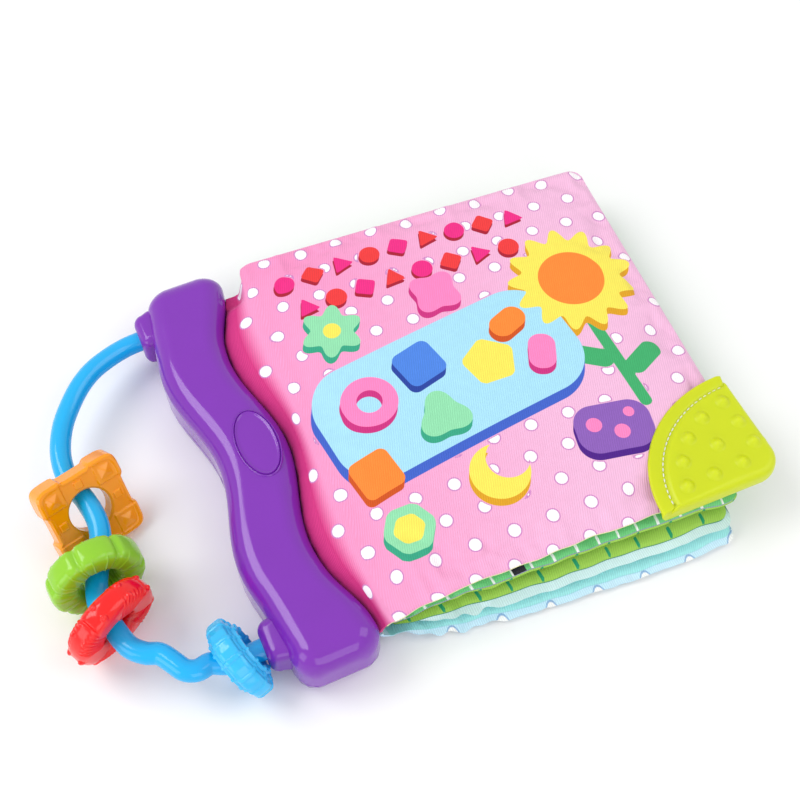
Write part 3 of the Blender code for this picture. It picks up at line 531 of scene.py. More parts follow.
def notched_square_ring(look, matrix):
    """A rounded square plate: raised corner pads with small pyramids, studs at mid-side, and a round hole.

    Round the hole by angle; each row goes up the hole, over the face, down the edge and back underneath. The
    outline is a superellipse less a notch in the middle of each side.
    """
    hole, chamfer = 8.3 * mm, 0.8 * mm
    pyramid_place, pyramid_half, stud_place = 11.0 * mm, 2.6 * mm, 11.6 * mm
    angle = turns(320)[:, None]
    c, s = np.cos(angle), np.sin(angle)
    reach = square_half / (np.abs(c) ** 9 + np.abs(s) ** 9) ** (1 / 9)
    reach = reach - 1.1 * mm * (1 - smooth(np.abs(np.sin(2 * angle)), 0.62, 0.68))
    share = np.linspace(0, 1, 30)[None, :]
    r = hole + chamfer + (reach - hole - 2 * chamfer) * share
    x, y = np.abs(r * c), np.abs(r * s)
    pad = 0.5 * mm * smooth(x, 6.6 * mm, 7.0 * mm) * smooth(y, 6.6 * mm, 7.0 * mm)
    to_pyramid = np.maximum(np.abs(x - pyramid_place), np.abs(y - pyramid_place))
    pyramid = 0.9 * mm * np.clip(1 - to_pyramid / pyramid_half, 0, 1)
    to_stud = np.minimum(np.maximum(np.abs(x - stud_place), y), np.maximum(np.abs(y - stud_place), x))
    stud = 0.5 * mm * (1 - smooth(to_stud, 1.3 * mm, 1.7 * mm))
    face = square_thick + pad + pyramid + stud + 0.35 * mm * smooth(share, 0.84, 0.9)
    edge, wall = face[:, -1:] - chamfer, hole + 0 * angle
    hole_edge = square_thick - chamfer + 0 * angle
    radius = np.concatenate([wall, r, reach, reach, r[:, ::-1], wall], axis=1)
    height = np.concatenate([hole_edge, face, edge, -edge, -face[:, ::-1], -hole_edge], axis=1)
    return carried_round("notched_square_ring", angle, radius, height, look, matrix, 0.5)


def puffy_lobed_ring(look, matrix):
    """A puffy ring of seven lobes: a superelliptic section, pinched at the creases between the lobes.

    Thin raised veins run across the lobes, and small teeth stand round the hole.
    """
    outer, hole, thick, lobes = 17.7 * mm, 7.5 * mm, 5.5 * mm, 7
    angle, turn = turns(420)[:, None], turns(64)[None, :]
    outwards, upwards = powered(np.cos(turn), 0.6), powered(np.sin(turn), 0.6)
    to_crease = np.abs((angle * lobes / (2 * np.pi) + 0.5) % 1 - 0.5) * 2
    crease = np.exp(-((to_crease / 0.16) ** 2))
    vein = np.exp(-(((to_crease - 0.62) / 0.035) ** 2)) + np.exp(-((to_crease / 0.05) ** 2))
    teeth = 0.45 * mm * np.cos(28 * angle) * smooth(-outwards, 0.75, 1.0)
    pinched = outwards * (1 - 0.24 * crease * smooth(outwards, -0.2, 0.8))
    out = (outer + hole) / 2 + (outer - hole) / 2 * pinched + teeth
    height = thick * upwards * (1 - 0.1 * crease + 0.07 * vein)
    return carried_round("puffy_lobed_ring", angle, out, height, look, matrix, 0.9)


def ridged_bumpy_ring(look, matrix):
    """A round ring with a smooth rim that carries small bumps, and flanks cut in slanting ridges.

    Half of each flank is smooth; on the other sectors a sine ridge slants across, and a notch divides them.
    """
    outer, hole, thick = 17.5 * mm, 6.0 * mm, 5.4 * mm
    bump_count, bump_radius, bump_height = 9, 1.35 * mm, 0.9 * mm
    angle, turn = turns(480)[:, None], turns(72)[None, :]
    outwards, upwards = powered(np.cos(turn), 0.62), powered(np.sin(turn), 0.72)
    share = (outwards + 1) / 2
    sector = (angle * 4 / (2 * np.pi) + 0.18 * share) % 1
    ridged = smooth(sector, 0.5, 0.53) * (1 - smooth(sector, 0.95, 0.98))
    flank = smooth(np.abs(upwards), 0.25, 0.6)
    ridges = 0.28 * mm * ridged * flank * np.cos(60 * angle + 9 * share)
    notch = -0.8 * mm * np.exp(-(((sector - 0.5) / 0.022) ** 2)) * smooth(share, 0.55, 1.0)
    round_rim = 2 * np.pi * outer / bump_count
    to_bump = np.abs((angle * bump_count / (2 * np.pi)) % 1 - 0.5) * round_rim
    away = np.hypot(to_bump, (np.abs(upwards) - 0.62) * thick) / bump_radius
    bumps = bump_height * np.sqrt(np.clip(1 - away**2, 0, 1)) * smooth(outwards, 0.4, 0.6)
    out = (outer + hole) / 2 + (outer - hole) / 2 * outwards + notch + bumps
    height = (thick - 0.5 * mm + ridges / np.maximum(np.abs(upwards), 0.3)) * upwards
    return carried_round("ridged_bumpy_ring", angle, out, height, look, matrix, 0.9)


def stepped_ribbed_ring(look, matrix):
    """A round ring that steps down from a thick hub to its rim, with raised ribs across it every 30 degrees.

    The upper half of its section is given from the hole outwards; the lower half is its mirror image.
    """
    outer, hole, rim, hub, rib_count = 15.4 * mm, 8.3 * mm, 3.4 * mm, 5.4 * mm, 12
    from_hole = np.array([0, 0, 0.4, 0.9, 1.9, 2.3, 2.5, 3.9, 4.3, 4.5]) * mm
    over_rim = np.array([0.8, 0.7, 0.4, 0.1, 0.0, -0.2, -0.9, -1.7]) * mm
    before_outer = np.array([1.6, 0.8, 0.2, 0.0]) * mm
    over_hub = np.array([0.0, 0.72 * hub, 0.93 * hub, hub, hub, hub - 0.4 * mm])
    section = np.stack([
        np.concatenate([hole + from_hole, outer - before_outer]), np.concatenate([over_hub, rim + over_rim]),
    ], axis=-1)
    out, up = np.concatenate([section, (section * (1, -1))[:0:-1]]).T
    angle = turns(360)[:, None]
    to_rib = np.abs((angle * rib_count / (2 * np.pi)) % 1 - 0.5) * 2 * np.pi * outer / rib_count
    rib = 0.45 * mm * (1 - smooth(to_rib, 0.45 * mm, 0.95 * mm))
    swell = -0.3 * mm * np.cos(to_rib / (4.0 * mm) * np.pi / 2)
    outwards = smooth(out, outer - 2 * mm, outer)
    height = up + np.sign(up) * rib * (1 - outwards) * smooth(np.abs(up), 1 * mm, 3 * mm)
    out = out + (rib + swell) * outwards
    return carried_round("stepped_ribbed_ring", angle, out, height, look, matrix, 0.6)


# ---------------------------------------------------------------- leaves


def hinge_line(y):
    """Where the leaves' hinge line passes, at a place along the handle."""
    return hinge_offset + np.tan(hinge_skew) * y


def leaf_plan(name, u, v):
    """The leaf from above. u runs from the spine to the fore-edge, v from near to far; both are grids."""
    width, slant, bow, level, _ = LEAVES[name]
    shift = inner_page_shift if abs(level) < 1 else 0.0
    spine_y = shift + leaf_height * (v - 0.5)
    pinch = spine_corner_ease * np.clip(1 - v / spine_corner_share, 0, 1) ** 2
    spine_x = hinge_line(spine_y) + leaf_start + pinch * (1 - u)
    reach = width + np.tan(fore_skew) * leaf_height * (v - 0.5)
    x = spine_x + reach * u * np.cos(slant)
    y = spine_y - reach * u * np.sin(slant) + bow * 4 * u * (1 - u) * (1 - v) - fore_taper * u * v
    return x, y


def fullness(share):
    """How full a pad is across itself: 0 at both seams and 1 in the middle, as one less a fifth power."""
    return np.sqrt(np.clip(1 - np.abs(2 * share - 1) ** 5, 0, 1))


def fading(distance, reach):
    """A bell curve: 1 at no distance, and e to the minus its square further off."""
    return np.exp(-((distance / reach) ** 2))


def ripples(along, seed):
    """Uneven gathers along a seam: sines of six wavelengths, from 6 to 31 mm, that drift past one another."""
    turn = np.random.default_rng(seed).uniform(0, 2 * np.pi, 6)
    lengths = np.array([6.3, 8.1, 10.7, 14.9, 21.0, 31.0]) * mm
    return sum(np.sin(2 * np.pi * along / length + phase) for length, phase in zip(lengths, turn)) / 3.2


def roll_lead(turn):
    """How far along its reach a roll is at each turn: a sine to the power 1.3, which keeps off the handle."""
    return np.sin(turn) ** 1.3


def roll_reach(x, y):
    """How far a cover's roll reaches back from above the hinge to the handle's side."""
    return x - (handle_centre(y) + handle_half(y)) - 0.2 * mm


def far_valley(v, height):
    """The valley beside the handle's far end, where a cover's spine is sewn shut.

    It gives how much of the cover's roll gives way, and how far the cloth lies lower there: all its height
    over the middle but the thickness of three cloths.
    """
    sunk = smooth(v, 0.89, 0.955)
    return sunk, sunk * (height - 3 * spine_cloth_thickness)


def corner_cut(inside, from_edge, radius):
    """How far a corner is drawn in: a circle's reach across the edge, fading out along the other one."""
    cut = radius - np.sqrt(radius**2 - (radius - np.clip(inside, 0, radius)) ** 2)
    return cut * np.clip(1 - from_edge / (4 * radius), 0, 1) ** 2


def leaf_sheets(name, rows, columns, puckers):
    """Both faces of a padded leaf as grids of points, and the grid's places in metres on the flat cloth.

    A cover's outer face goes on past the hinge and rolls over towards the handle, on a quarter ellipse from
    above the hinge; its inner face follows it there at the cloth's thickness. Seams gather the cloth in
    ripples that are deepest 3 mm in and fade within 12 mm.
    """
    width, _, _, level, hang = LEAVES[name]
    seed, cover, way = int(10 * (level + 2)), abs(level) > 1, np.sign(level)
    roll = roll_length if cover else 0.0
    s, v = np.meshgrid(np.linspace(-roll, width, rows), np.linspace(0, 1, columns), indexing="ij")
    u = np.clip((roll_start + s * (1 - roll_start / width) if cover else s) / width, 0, 1)
    x, y = leaf_plan(name, u, v)
    middle = middle_height + level * leaf_pitch
    if not cover:
        # A page dips towards the middle at its spine
        middle = middle - way * 1.5 * mm * np.clip(1 - u * width / (12 * mm), 0, 1) ** 2
    spread, across = (leaf_pad - seam_thickness) / 2, fullness(v)
    outer_along = np.where(u < 0.5, 1.0, fullness(u)) if cover else fullness(u)
    outer = middle + way * (seam_thickness / 2 + spread * outer_along * across)
    inner = middle - way * (seam_thickness / 2 + spread * fullness(u) * across)
    inner_x = x
    if cover:
        turn = np.clip(-s / roll, 0, 1) * roll_turn
        back, lean = roll_reach(x, y), 1 - np.cos(turn)
        sunk, fall = far_valley(v, way * (outer - middle_height))
        fall = fall * smooth(-s, valley_start, 2 * valley_start)
        under = (roll_height - spine_cloth_thickness) * lean * (1 - sunk) + fall
        under = outer - way * (spine_cloth_thickness + under)
        outer = outer - way * (roll_height * lean * (1 - sunk) + fall)
        inner_x, x = x - (back - spine_cloth_thickness) * roll_lead(turn), x - back * roll_lead(turn)
        inner = under + (inner - under) * smooth(s, 0.5 * mm, 9 * mm)
    fore, near, far = width - s, v * leaf_height, (1 - v) * leaf_height
    y = y - corner_cut(s + (valley_start if cover else 0.0), far, spine_corner_radius)
    y = y - corner_cut(fore, far, fore_corner_radius) + corner_cut(fore, near, fore_corner_radius)
    gather = 0 * s
    for k, (from_edge, along) in enumerate(((near, s), (far, s), (fore, near))):
        depth = (from_edge / gather_depth) * np.exp(1 - from_edge / gather_depth)
        gather += ripples(along, seed + k) * depth
    # The seams' ends bunch up beside the handle
    bunched = fading(near, 11 * mm) * fading(s - 9 * mm, 14 * mm) * smooth(near, 0, 3 * mm)
    gather = (np.clip(gather, -1.6, 1.6) + 2.4 * ripples(s, seed + 6) * bunched) * puckers
    outer = outer + way * (gather if cover else 0.6 * gather)
    inner = inner - way * np.minimum(0.5 * gather, 0.0)
    # The lower face hangs out below the near seam, and the seam itself is wavy
    start = 10 * mm if name == "back_cover" else 30 * mm
    belly = hang * smooth(near, 0, 2 * mm) * fading(near, 9 * mm) * smooth(s, 0, start)
    belly = belly * (1 + 0.3 * ripples(0.8 * s, seed + 7) * (1 - smooth(s, 25 * mm, 60 * mm)))
    wavy = y + seam_wave * ripples(0.45 * s, seed + 5) * np.exp(-near / (9 * mm))
    outer_y, inner_y = (wavy, wavy - belly) if way > 0 else (wavy - belly, wavy)
    # Everything is drawn in round the handle's near end
    draw = 0.3 * fading(np.maximum(s, 0), 13 * mm) * fading(near, 9 * mm)
    outer, inner = (np.maximum(z + (middle_height - z) * draw, lowest) for z in (outer, inner))
    sheets = np.stack([x, outer_y, outer], axis=-1), np.stack([inner_x, inner_y, inner], axis=-1)
    return *(sheets if way > 0 else sheets[::-1]), np.stack([s, near], axis=-1)


def resampled(field, rows, columns):
    """A grid of vectors at a finer spacing, by the Catmull-Rom cubic of four neighbours along each way."""
    for axis, count in ((0, rows), (1, columns)):
        old = field.shape[axis]
        place = np.linspace(0, old - 1, count)
        first = np.clip(np.floor(place).astype(int), 0, old - 2)
        shape = [1, 1, 1]
        shape[axis] = count
        four = (np.take(field, np.clip(first + k, 0, old - 1), axis=axis) for k in (-1, 0, 1, 2))
        field = catmull_rom(*four, (place - first).reshape(shape))
    return field


def blown_up(upper, lower):
    """How cloth simulation moves both faces of a pad that is a little too large for its seams.

    The rim is pinned and the faces are under pressure, so the spare cloth buckles into soft crinkles.
    """
    rows, columns = upper.shape[:2]
    points = np.concatenate([upper.reshape(-1, 3), lower.reshape(-1, 3)])
    face_sets, rim = sheet_faces(rows, columns)
    pad = mesh_piece("pad_in_simulation", points, face_sets, None)
    pinned = pad.vertex_groups.new(name="rim")
    pinned.add([int(i) for i in np.concatenate([rim, rim + rows * columns])], 1.0, "REPLACE")
    settings = pad.modifiers.new("Cloth", "CLOTH").settings
    settings.quality = 5
    settings.mass = 0.15
    settings.use_pressure = True
    settings.uniform_pressure_force = 4.0
    settings.vertex_group_mass = "rim"
    settings.shrink_min = -0.035
    settings.effector_weights.gravity = 0.0
    settings.bending_stiffness = 0.08
    scene = bpy.context.scene
    for step in range(1, 21):
        scene.frame_set(step)
    evaluated = pad.evaluated_get(bpy.context.evaluated_depsgraph_get())
    moved = np.empty(len(points) * 3, np.float32)
    evaluated.data.vertices.foreach_get("co", moved)
    scene.frame_set(1)
    mesh = pad.data
    bpy.data.objects.remove(pad, do_unlink=True)
    bpy.data.meshes.remove(mesh)
    return (moved.reshape(-1, 3) - points).reshape(2, rows, columns, 3)


def padded_leaf(name, looks, spacing, puckers, most, outward):
    """A leaf's pillow: its faces, moved as simulation moves them, but by no more than most.

    outward gives how far the upper and the lower face may come out towards what lies against them.
    """
    width, _, _, level, _ = LEAVES[name]
    cover = abs(level) > 1
    length = width + (roll_length if cover else 0.0)
    # The marks along the near edge are narrow, so the grid is finer that way
    fineness = 1.25
    rows, columns = int(length / spacing * fineness), int(leaf_height / spacing / fineness)
    upper, lower, chart = leaf_sheets(name, rows, columns, puckers)
    coarse = int(length / coarse_cell), int(leaf_height / coarse_cell)
    moves = blown_up(*leaf_sheets(name, *coarse, puckers)[:2])
    # A cover's roll and the near seam are sewn down too close to buckle
    calm = smooth(chart[..., 1:], 1 * mm, 9 * mm)
    if cover:
        calm = calm * smooth(chart[..., :1], 1 * mm, 13 * mm)
    for sheet, move, way, limit in zip((upper, lower), moves, (1, -1), outward):
        far = np.linalg.norm(move, axis=-1, keepdims=True) + 1e-9
        capped = move / far * most * np.tanh(far / most)
        capped[..., 2] = way * np.minimum(way * capped[..., 2], limit)
        sheet += resampled(capped, rows, columns) * calm
    lower[..., 2] = np.maximum(lower[..., 2], lowest)
    return two_sheets(f"{name}_pillow", upper, lower, looks, chart), chart


def spine_cloth(name, cover, look):
    """The cloth that a cover's roll runs on into: down along the handle's side and into its slot."""
    width, _, _, level, _ = LEAVES[cover]
    way = np.sign(level)
    columns, drop, tuck = 150, 26, 8
    v = np.linspace(0, 1, columns)[None, :]
    near = v * leaf_height
    x, y = leaf_plan(cover, np.full_like(v, roll_start / width), v)
    y = y - corner_cut(0.0, leaf_height - near, spine_corner_radius)
    pad = (leaf_pad - seam_thickness) * fullness(v)
    top = middle_height + level * leaf_pitch + way * (seam_thickness + pad) / 2
    sunk, fall = far_valley(v, way * (top - middle_height))
    turn = np.linspace(roll_turn - 0.06, np.pi / 2, drop)[:, None]
    share = np.linspace(0, 1, tuck + 1)[1:, None]
    slot_edge = middle_height + way * 1.0 * mm
    draw = 0.3 * fading(near, 9 * mm)
    fold = 0.25 * mm * ripples(y, 7) * np.linspace(0.2, 1, drop + tuck)[:, None]
    sheets = []
    for inset in (0.0, spine_cloth_thickness):
        over_x = x - (roll_reach(x, y) - inset) * roll_lead(turn)
        over_z = top - way * (inset + (roll_height - inset) * (1 - np.cos(turn)) * (1 - sunk) + fall)
        down_x = over_x[-1:] - 1.4 * mm * smooth(share, 0.3, 1.0)
        down_z = over_z[-1:] + (slot_edge - over_z[-1:]) * share
        all_x, z = np.concatenate([over_x, down_x]) + fold, np.concatenate([over_z, down_z])
        # Both its ends are drawn in a little from the leaf's
        all_y = 0.9975 * y + 0 * z
        sheets.append(np.stack([all_x, all_y, z + (middle_height - z) * draw], axis=-1))
    along = -roll_length - np.linspace(0, 20 * mm, drop + tuck)[:, None] + 0 * v
    chart = np.stack([along, near + 0 * along], axis=-1)
    upper, lower = sheets if way > 0 else sheets[::-1]
    return two_sheets(name, upper, lower, [look] * 3, chart), chart


def hinge_tape(look):
    """The cloth tape that joins all the leaves to the handle, from inside its slot to the hinge line."""
    y = np.linspace(-76 * mm, 76 * mm, 150)[None, :]
    share = np.linspace(0, 1, 12)[:, None]
    start, end = handle_centre(y) + handle_half(y) - 5 * mm, hinge_line(y) + 1.1 * mm
    x = start + (end - start) * share
    y = y + 0 * x
    half = 1.2 * mm * np.sqrt(1 - smooth(share, 0.75, 1.0) ** 2 * 0.75)
    middle = middle_height + 0.15 * mm * ripples(y, 3)
    upper, lower = (np.stack([x, y, middle + side * half], axis=-1) for side in (1, -1))
    return two_sheets("hinge_tape", upper, lower, [look] * 3, np.stack([x, y], axis=-1))


# ---------------------------------------------------------------- print


# Each shape gives how far inside itself a place is, in millimetres, and is below zero outside.


def disc(p, q, x, y, radius):
    """A circle."""
    return radius - np.hypot(p - x, q - y)


def bitten(p, q, x, y, radius, other_x, other_y, other_radius):
    """A circle less another one: a ring where they share a middle, and else a crescent."""
    return np.minimum(disc(p, q, x, y, radius), -disc(p, q, other_x, other_y, other_radius))


def slab(p, q, x, y, half_x, half_y, radius, turn=0.0):
    """A rounded rectangle, turned by that many degrees."""
    c, s = np.cos(np.radians(turn)), np.sin(np.radians(turn))
    across, along = c * (p - x) + s * (q - y), -s * (p - x) + c * (q - y)
    over_x, over_y = np.abs(across) - half_x + radius, np.abs(along) - half_y + radius
    outside = np.hypot(np.maximum(over_x, 0), np.maximum(over_y, 0))
    return radius - outside - np.minimum(np.maximum(over_x, over_y), 0)


def cornered(p, q, x, y, radius, corners, turn=0.0):
    """A regular polygon with its corners rounded off."""
    angle = np.arctan2(q - y, p - x) - np.radians(turn)
    step = 2 * np.pi / corners
    inwards = np.abs((angle + step / 2) % step - step / 2)
    reach = radius * np.cos(step / 2) / np.cos(step / 2 - inwards)
    return np.minimum(reach, radius * 0.93) - np.hypot(p - x, q - y)


def petals(p, q, x, y, radius, count, depth, turn=0.0):
    """A flower: a circle whose reach is a cosine of the angle."""
    angle = np.arctan2(q - y, p - x) - np.radians(turn)
    return radius * (1 + depth * np.cos(count * angle)) - np.hypot(p - x, q - y)


def lattice(p, q, pitch, radius):
    """The nearest dot of a staggered lattice."""
    row = np.round(q / (pitch * 0.8))
    shifted = p + (row % 2) * pitch / 2 + 1.3 * np.sin(row * 1.7)
    return radius - np.hypot(shifted - np.round(shifted / pitch) * pitch, q - row * pitch * 0.8)


def edge_marks(p, q, pitch, length, inset, width):
    """The nearest of the dashes printed along a leaf's near edge."""
    along = (p + 0.8 * np.sin(p / 7.3)) % pitch - pitch / 2
    return np.minimum(length / 2 - np.abs(along), width / 2 - np.abs(q - inset))


flat, low, once = (), ((1.3, 2.6), (0.6, 1.3)), ((1.3, 2.6),)
# Each motif's ink, the moves that make its darker side, its shape and the shape's numbers
COVER_MOTIFS = (
    # The big sunflower, its stem and leaves
    ("sunny", ((1.4, 3.0), (0.7, 1.5)), petals, 121, 108, 23.0, 13, 0.13),
    ("stem", flat, slab, 121, 66, 2.4, 24, 2.2, 4),
    ("stem", flat, slab, 112, 70, 9, 4.2, 4, -32),
    ("stem", flat, slab, 131, 63, 9, 4.2, 4, 30),
    ("orange", flat, disc, 121, 108, 13.5),
    ("orange_side", flat, bitten, 121, 108, 13.5, 121, 108, 12.0),
    # The mat and what lies on it
    ("mat", ((2.0, 4.4), (1.0, 2.2)), slab, 56, 80, 54, 26, 18, 9),
    ("pink", once, bitten, 24, 82, 11, 24, 82, 5),
    ("blue", low, slab, 48, 91, 8.5, 8.5, 3.4, 16),
    ("mint", low, petals, 48, 66, 9.2, 3, 0.2, 90),
    ("sunny", low, cornered, 74, 82, 11.5, 5, 18),
    ("orange", low, slab, 88, 97, 8, 5.2, 5, 24),
    ("pink", low, slab, 95, 79, 5.4, 8.2, 5, -20),
    # Motifs round the mat
    ("mint", low, petals, 22, 118, 10.5, 6, 0.2, 10),
    ("sunny", flat, disc, 22, 118, 3.6),
    ("pink", low, petals, 67, 121, 9.5, 4, 0.16, 45),
    ("purple", low, slab, 106, 38, 15, 10.5, 8, -8),
    ("pink", flat, disc, 99, 41, 3.1),
    ("pink", flat, disc, 108, 35, 3.1),
    ("pink", flat, disc, 114, 42, 2.2),
    ("orange", low, slab, 15, 52, 8.5, 8.5, 3, 12),
    ("mint", low, cornered, 18, 27, 10.5, 6, 0),
    ("sunny", flat, cornered, 18, 27, 6.2, 6, 0),
    ("sunny", once, bitten, 58, 36, 11.5, 63, 40, 8.5),
)


def cover_print(p, q):
    """The cover's made-up print and a painted shade, in millimetres from the spine and the near edge: each
    ink, how far inside.

    Rows of small marks run along the far side, a pale mat of toy shapes lies in the middle, and larger
    motifs stand round it. A motif's darker copy, moved a little, gives it a drawn thickness.
    """
    inks = {}

    def ink(name, moves, shape, numbers):
        for right, up in moves:
            inks[name] = np.maximum(inks.get(name, -9.0), shape(p + right, q + up, *numbers))

    for name, moves, shape, *numbers in COVER_MOTIFS:
        ink(name, ((0, 0),), shape, numbers)
        ink(f"{name}_side", moves, shape, numbers)
    # Two rows of little marks on gentle arcs
    for row, (row_height, bend, count) in enumerate(((149, 3.2, 9), (134, 2.6, 8))):
        for k in range(count):
            x = 12 + 12.4 * k + 5 * row
            y = row_height - bend * ((k - count / 2 + 0.5) / (count / 2)) ** 2
            turn = 23 * k + 11 * row
            kinds = (disc, 4.3), (slab, 3.7, 3.7, 1.2, 45 + turn % 20), (cornered, 5.2, 3, 90 + turn % 25)
            shape, *numbers = kinds[(k + 2 * row) % 3]
            ink("red" if k % 2 else "magenta", ((0, 0),), shape, (x, y, *numbers))
            ink("red_side", ((0.8, 1.5),), shape, (x, y, *numbers))
    covered = np.maximum.reduce(list(inks.values()))
    # Not distances: a painted shade deepens the ground to a dark pink down the roll beside the handle, where
    # the cloth falls into shadow, and the ground fades to a paler pink across the cover
    inks["gutter"] = (-p - 8.0) / 1.3
    inks["fade"] = (p + 0.25 * (120 - q) - 62) / 18
    dots = np.minimum(lattice(p, q, 15.5, 2.35), p + 11.0)
    inks["dot"] = np.minimum(dots, -covered - 0.6)
    inks["dot_rim"] = np.minimum(dots + 0.5, -covered - 0.3)
    return inks


def page_print(p, q):
    """The made-up prints of the inner leaves and the back: dots, big tone-on-tone shapes and edge marks."""
    shapes = np.maximum.reduce([
        disc(p, q, 42, 112, 24), slab(p, q, 98, 60, 22, 17, 7, 14), petals(p, q, 38, 46, 16, 5, 0.14),
        cornered(p, q, 103, 122, 17, 5, 10),
    ])
    cores = np.maximum.reduce([
        disc(p, q, 42, 112, 13), slab(p, q, 98, 60, 12, 8, 4, 14), disc(p, q, 38, 46, 6),
        cornered(p, q, 103, 122, 8, 5, 10),
    ])
    edge_dots = lattice(p, q - 2.7, 19.5, 2.3)
    return {
        "shape": shapes,
        "core": cores,
        "spot": np.minimum(edge_dots, -shapes - 1.0),
        "inner_spot": np.minimum.reduce([lattice(p, q, 17.0, 2.4), -shapes - 1.0, q - 14.0, p - 8.0]),
        "spot_rim": np.minimum(edge_dots + 0.45, -shapes - 0.8),
        "ticks": edge_marks(p, q, 8.6, 1.1, 1.9, 4.4),
        "stitches": edge_marks(p, q, 3.4, 1.9, 0.5, 0.7),
        "band": slab(p, q, 50, 2.2, 2.6, 5.0, 0.8),
        "dashes": edge_marks(p, q, 13.2, 1.4, 2.4, 4.6),
    }


def ink_on(piece, prefix, chart, printed):
    """Writes each ink's distances on the piece as an attribute, for both its faces."""
    for ink, inside in printed(chart[..., 0] / mm, chart[..., 1] / mm).items():
        layer = piece.data.attributes.new(f"{prefix}_{ink}", "FLOAT", "POINT")
        layer.data.foreach_set("value", np.tile(np.clip(inside, -4, 4).ravel(), 2).astype(np.float32))


# ---------------------------------------------------------------- teether


def turned(aim, angle):
    """A direction in the plan, turned anticlockwise as seen from above."""
    c, s = np.cos(angle), np.sin(angle)
    return np.array([c * aim[0] - s * aim[1], s * aim[0] + c * aim[1]])


def on_legs(n, f):
    """Places in the plan at distances along the teether's near leg and fore leg, from its outer corner.

    The legs lie along the cover's near edge and fore-edge, each turned a little outwards.
    """
    x, y = leaf_plan("front_cover", np.array([0.0, 1.0, 1.0]), np.array([0.0, 0.0, 1.0]))
    spine, corner, far = np.stack([x, y], axis=-1)
    near, fore = ((end - corner) / np.linalg.norm(end - corner) for end in (spine, far))
    corner = corner - near * fore_overhang - fore * near_overhang
    near, fore = turned(near, near_leg_turn), turned(fore, fore_leg_turn)
    return [corner[k] + near[k] * n + fore[k] * f for k in (0, 1)]


def teether_outline(count):
    """The corner piece from above, as far along the near leg and along the fore leg, and where its arc is.

    Two straight legs, a round corner and an elliptic inner edge, at even steps round it.
    """
    turn, radius = quarter(60), teether_corner_radius
    corner = np.stack([radius * (1 - np.sin(turn)), radius * (1 - np.cos(turn))], axis=-1)
    arc = np.stack([near_leg * np.sin(turn), fore_leg * np.cos(turn)], axis=-1)
    points = np.concatenate([corner, arc, corner[:1]])
    on_arc = np.concatenate([0 * turn, 0 * turn + 1, [0.0]])
    reach = np.concatenate([[0.0], np.cumsum(np.linalg.norm(np.diff(points, axis=0), axis=1))])
    at = np.linspace(0, reach[-1], count, endpoint=False)
    first = np.searchsorted(reach, at, side="right") - 1
    is_arc = (on_arc[first] > 0.5) & (on_arc[first + 1] > 0.5)
    return np.stack([np.interp(at, reach, points[:, k]) for k in (0, 1)], axis=-1), is_arc


def teether_top(n, f):
    """The top's height over the cover's highest point, at places along both legs.

    The pad stands over the sewn flange along the arc, with low round nubs in three arcs on it.
    """
    to_arc = (1 - np.hypot(n / near_leg, f / fore_leg)) * (near_leg + fore_leg) / 2
    pad = smooth(to_arc, flange_width - 0.3 * mm, flange_width + 1.6 * mm)
    height = 1.5 * mm + 0.9 * mm * pad - 0.45 * mm * fading(to_arc - stitch_inset, 0.45 * mm)
    for share, count, first, last in nub_arcs:
        for turn in np.linspace(first, last, count) * np.pi / 2:
            away = np.hypot(n - share * near_leg * np.cos(turn), f - share * fore_leg * np.sin(turn))
            height = height + nub_height * (1 - smooth(away, 0.4 * mm, 3.2 * mm))
    return height


def corner_teether(look):
    """The nubbed silicone corner, as rows of points round it, each that far from a middle point.

    They go out over the top, down the legs' thick wall, in along a lower lip, and back to the middle
    underneath. Along the arc it is only a thin flange.
    """
    around = 420
    outline, is_arc = teether_outline(around)
    middle = np.array([0.36 * near_leg, 0.36 * fore_leg])
    reach = np.linalg.norm(outline - middle, axis=1, keepdims=True)
    aim = (outline - middle) / reach
    # 0 along the legs, 1 along the arc, and evenly between them over nine steps
    arc = np.convolve(np.tile(is_arc.astype(float), 3), np.ones(9) / 9, "same")[around : 2 * around, None]

    def blend(on_legs_value, on_arc_value):
        return on_legs_value * (1 - arc) + on_arc_value * arc

    radius, lip = blend(3.2 * mm, 0.7 * mm), blend(6 * mm, 1.0 * mm)
    thick, wall = blend(1.4 * mm, 0.05 * mm), blend(1.7 * mm, 0.9 * mm)
    floor = blend(teether_seam - lip_drop, teether_base + 0.1 * mm)
    foot = np.minimum(1.2 * mm, 0.5 * radius)
    bend, down = quarter(9)[None, :], np.linspace(0, 1, 6)[None, 1:]
    over, under = bend[:, 1:], bend[:, 2::2]
    top_reach = np.linspace(0.02, 1, 84)[None, :] ** 0.8 * (reach - radius)
    top = teether_base + teether_top(middle[0] + aim[:, :1] * top_reach, middle[1] + aim[:, 1:] * top_reach)
    shoulder = top[:, -1:] - radius * (1 - np.cos(over)) * (1 - 0.3 * arc)
    wall_top = shoulder[:, -1:]
    rows = (
        (top_reach, top),
        (reach - radius + radius * np.sin(over), shoulder),
        (reach + 0.2 * mm * np.sin(np.pi * down), wall_top + (floor + foot - wall_top) * down),
        (reach - foot * (1 - np.cos(under)), floor + foot * (1 - np.sin(under))),
        (reach - lip + np.array([0.6, 0.0, 0.3]) * mm, floor + thick * np.array([0.0, 0.5, 1.0])),
        (reach - wall + np.array([-0.4, 0.0]) * mm, floor + thick * np.array([1.0, 1.3])),
        ((reach - wall) * np.array([1.0, 0.5, 0.04]), teether_base + 0.15 * mm + np.zeros((around, 3))),
    )
    away, z = (np.concatenate([row[k] for row in rows], axis=1) for k in (0, 1))
    x, y = on_legs(middle[0] + aim[:, :1] * away, middle[1] + aim[:, 1:] * away)
    return closed_loft("nubbed_corner", np.stack([x, y, z], axis=-1).transpose(1, 0, 2), look, 0.9)


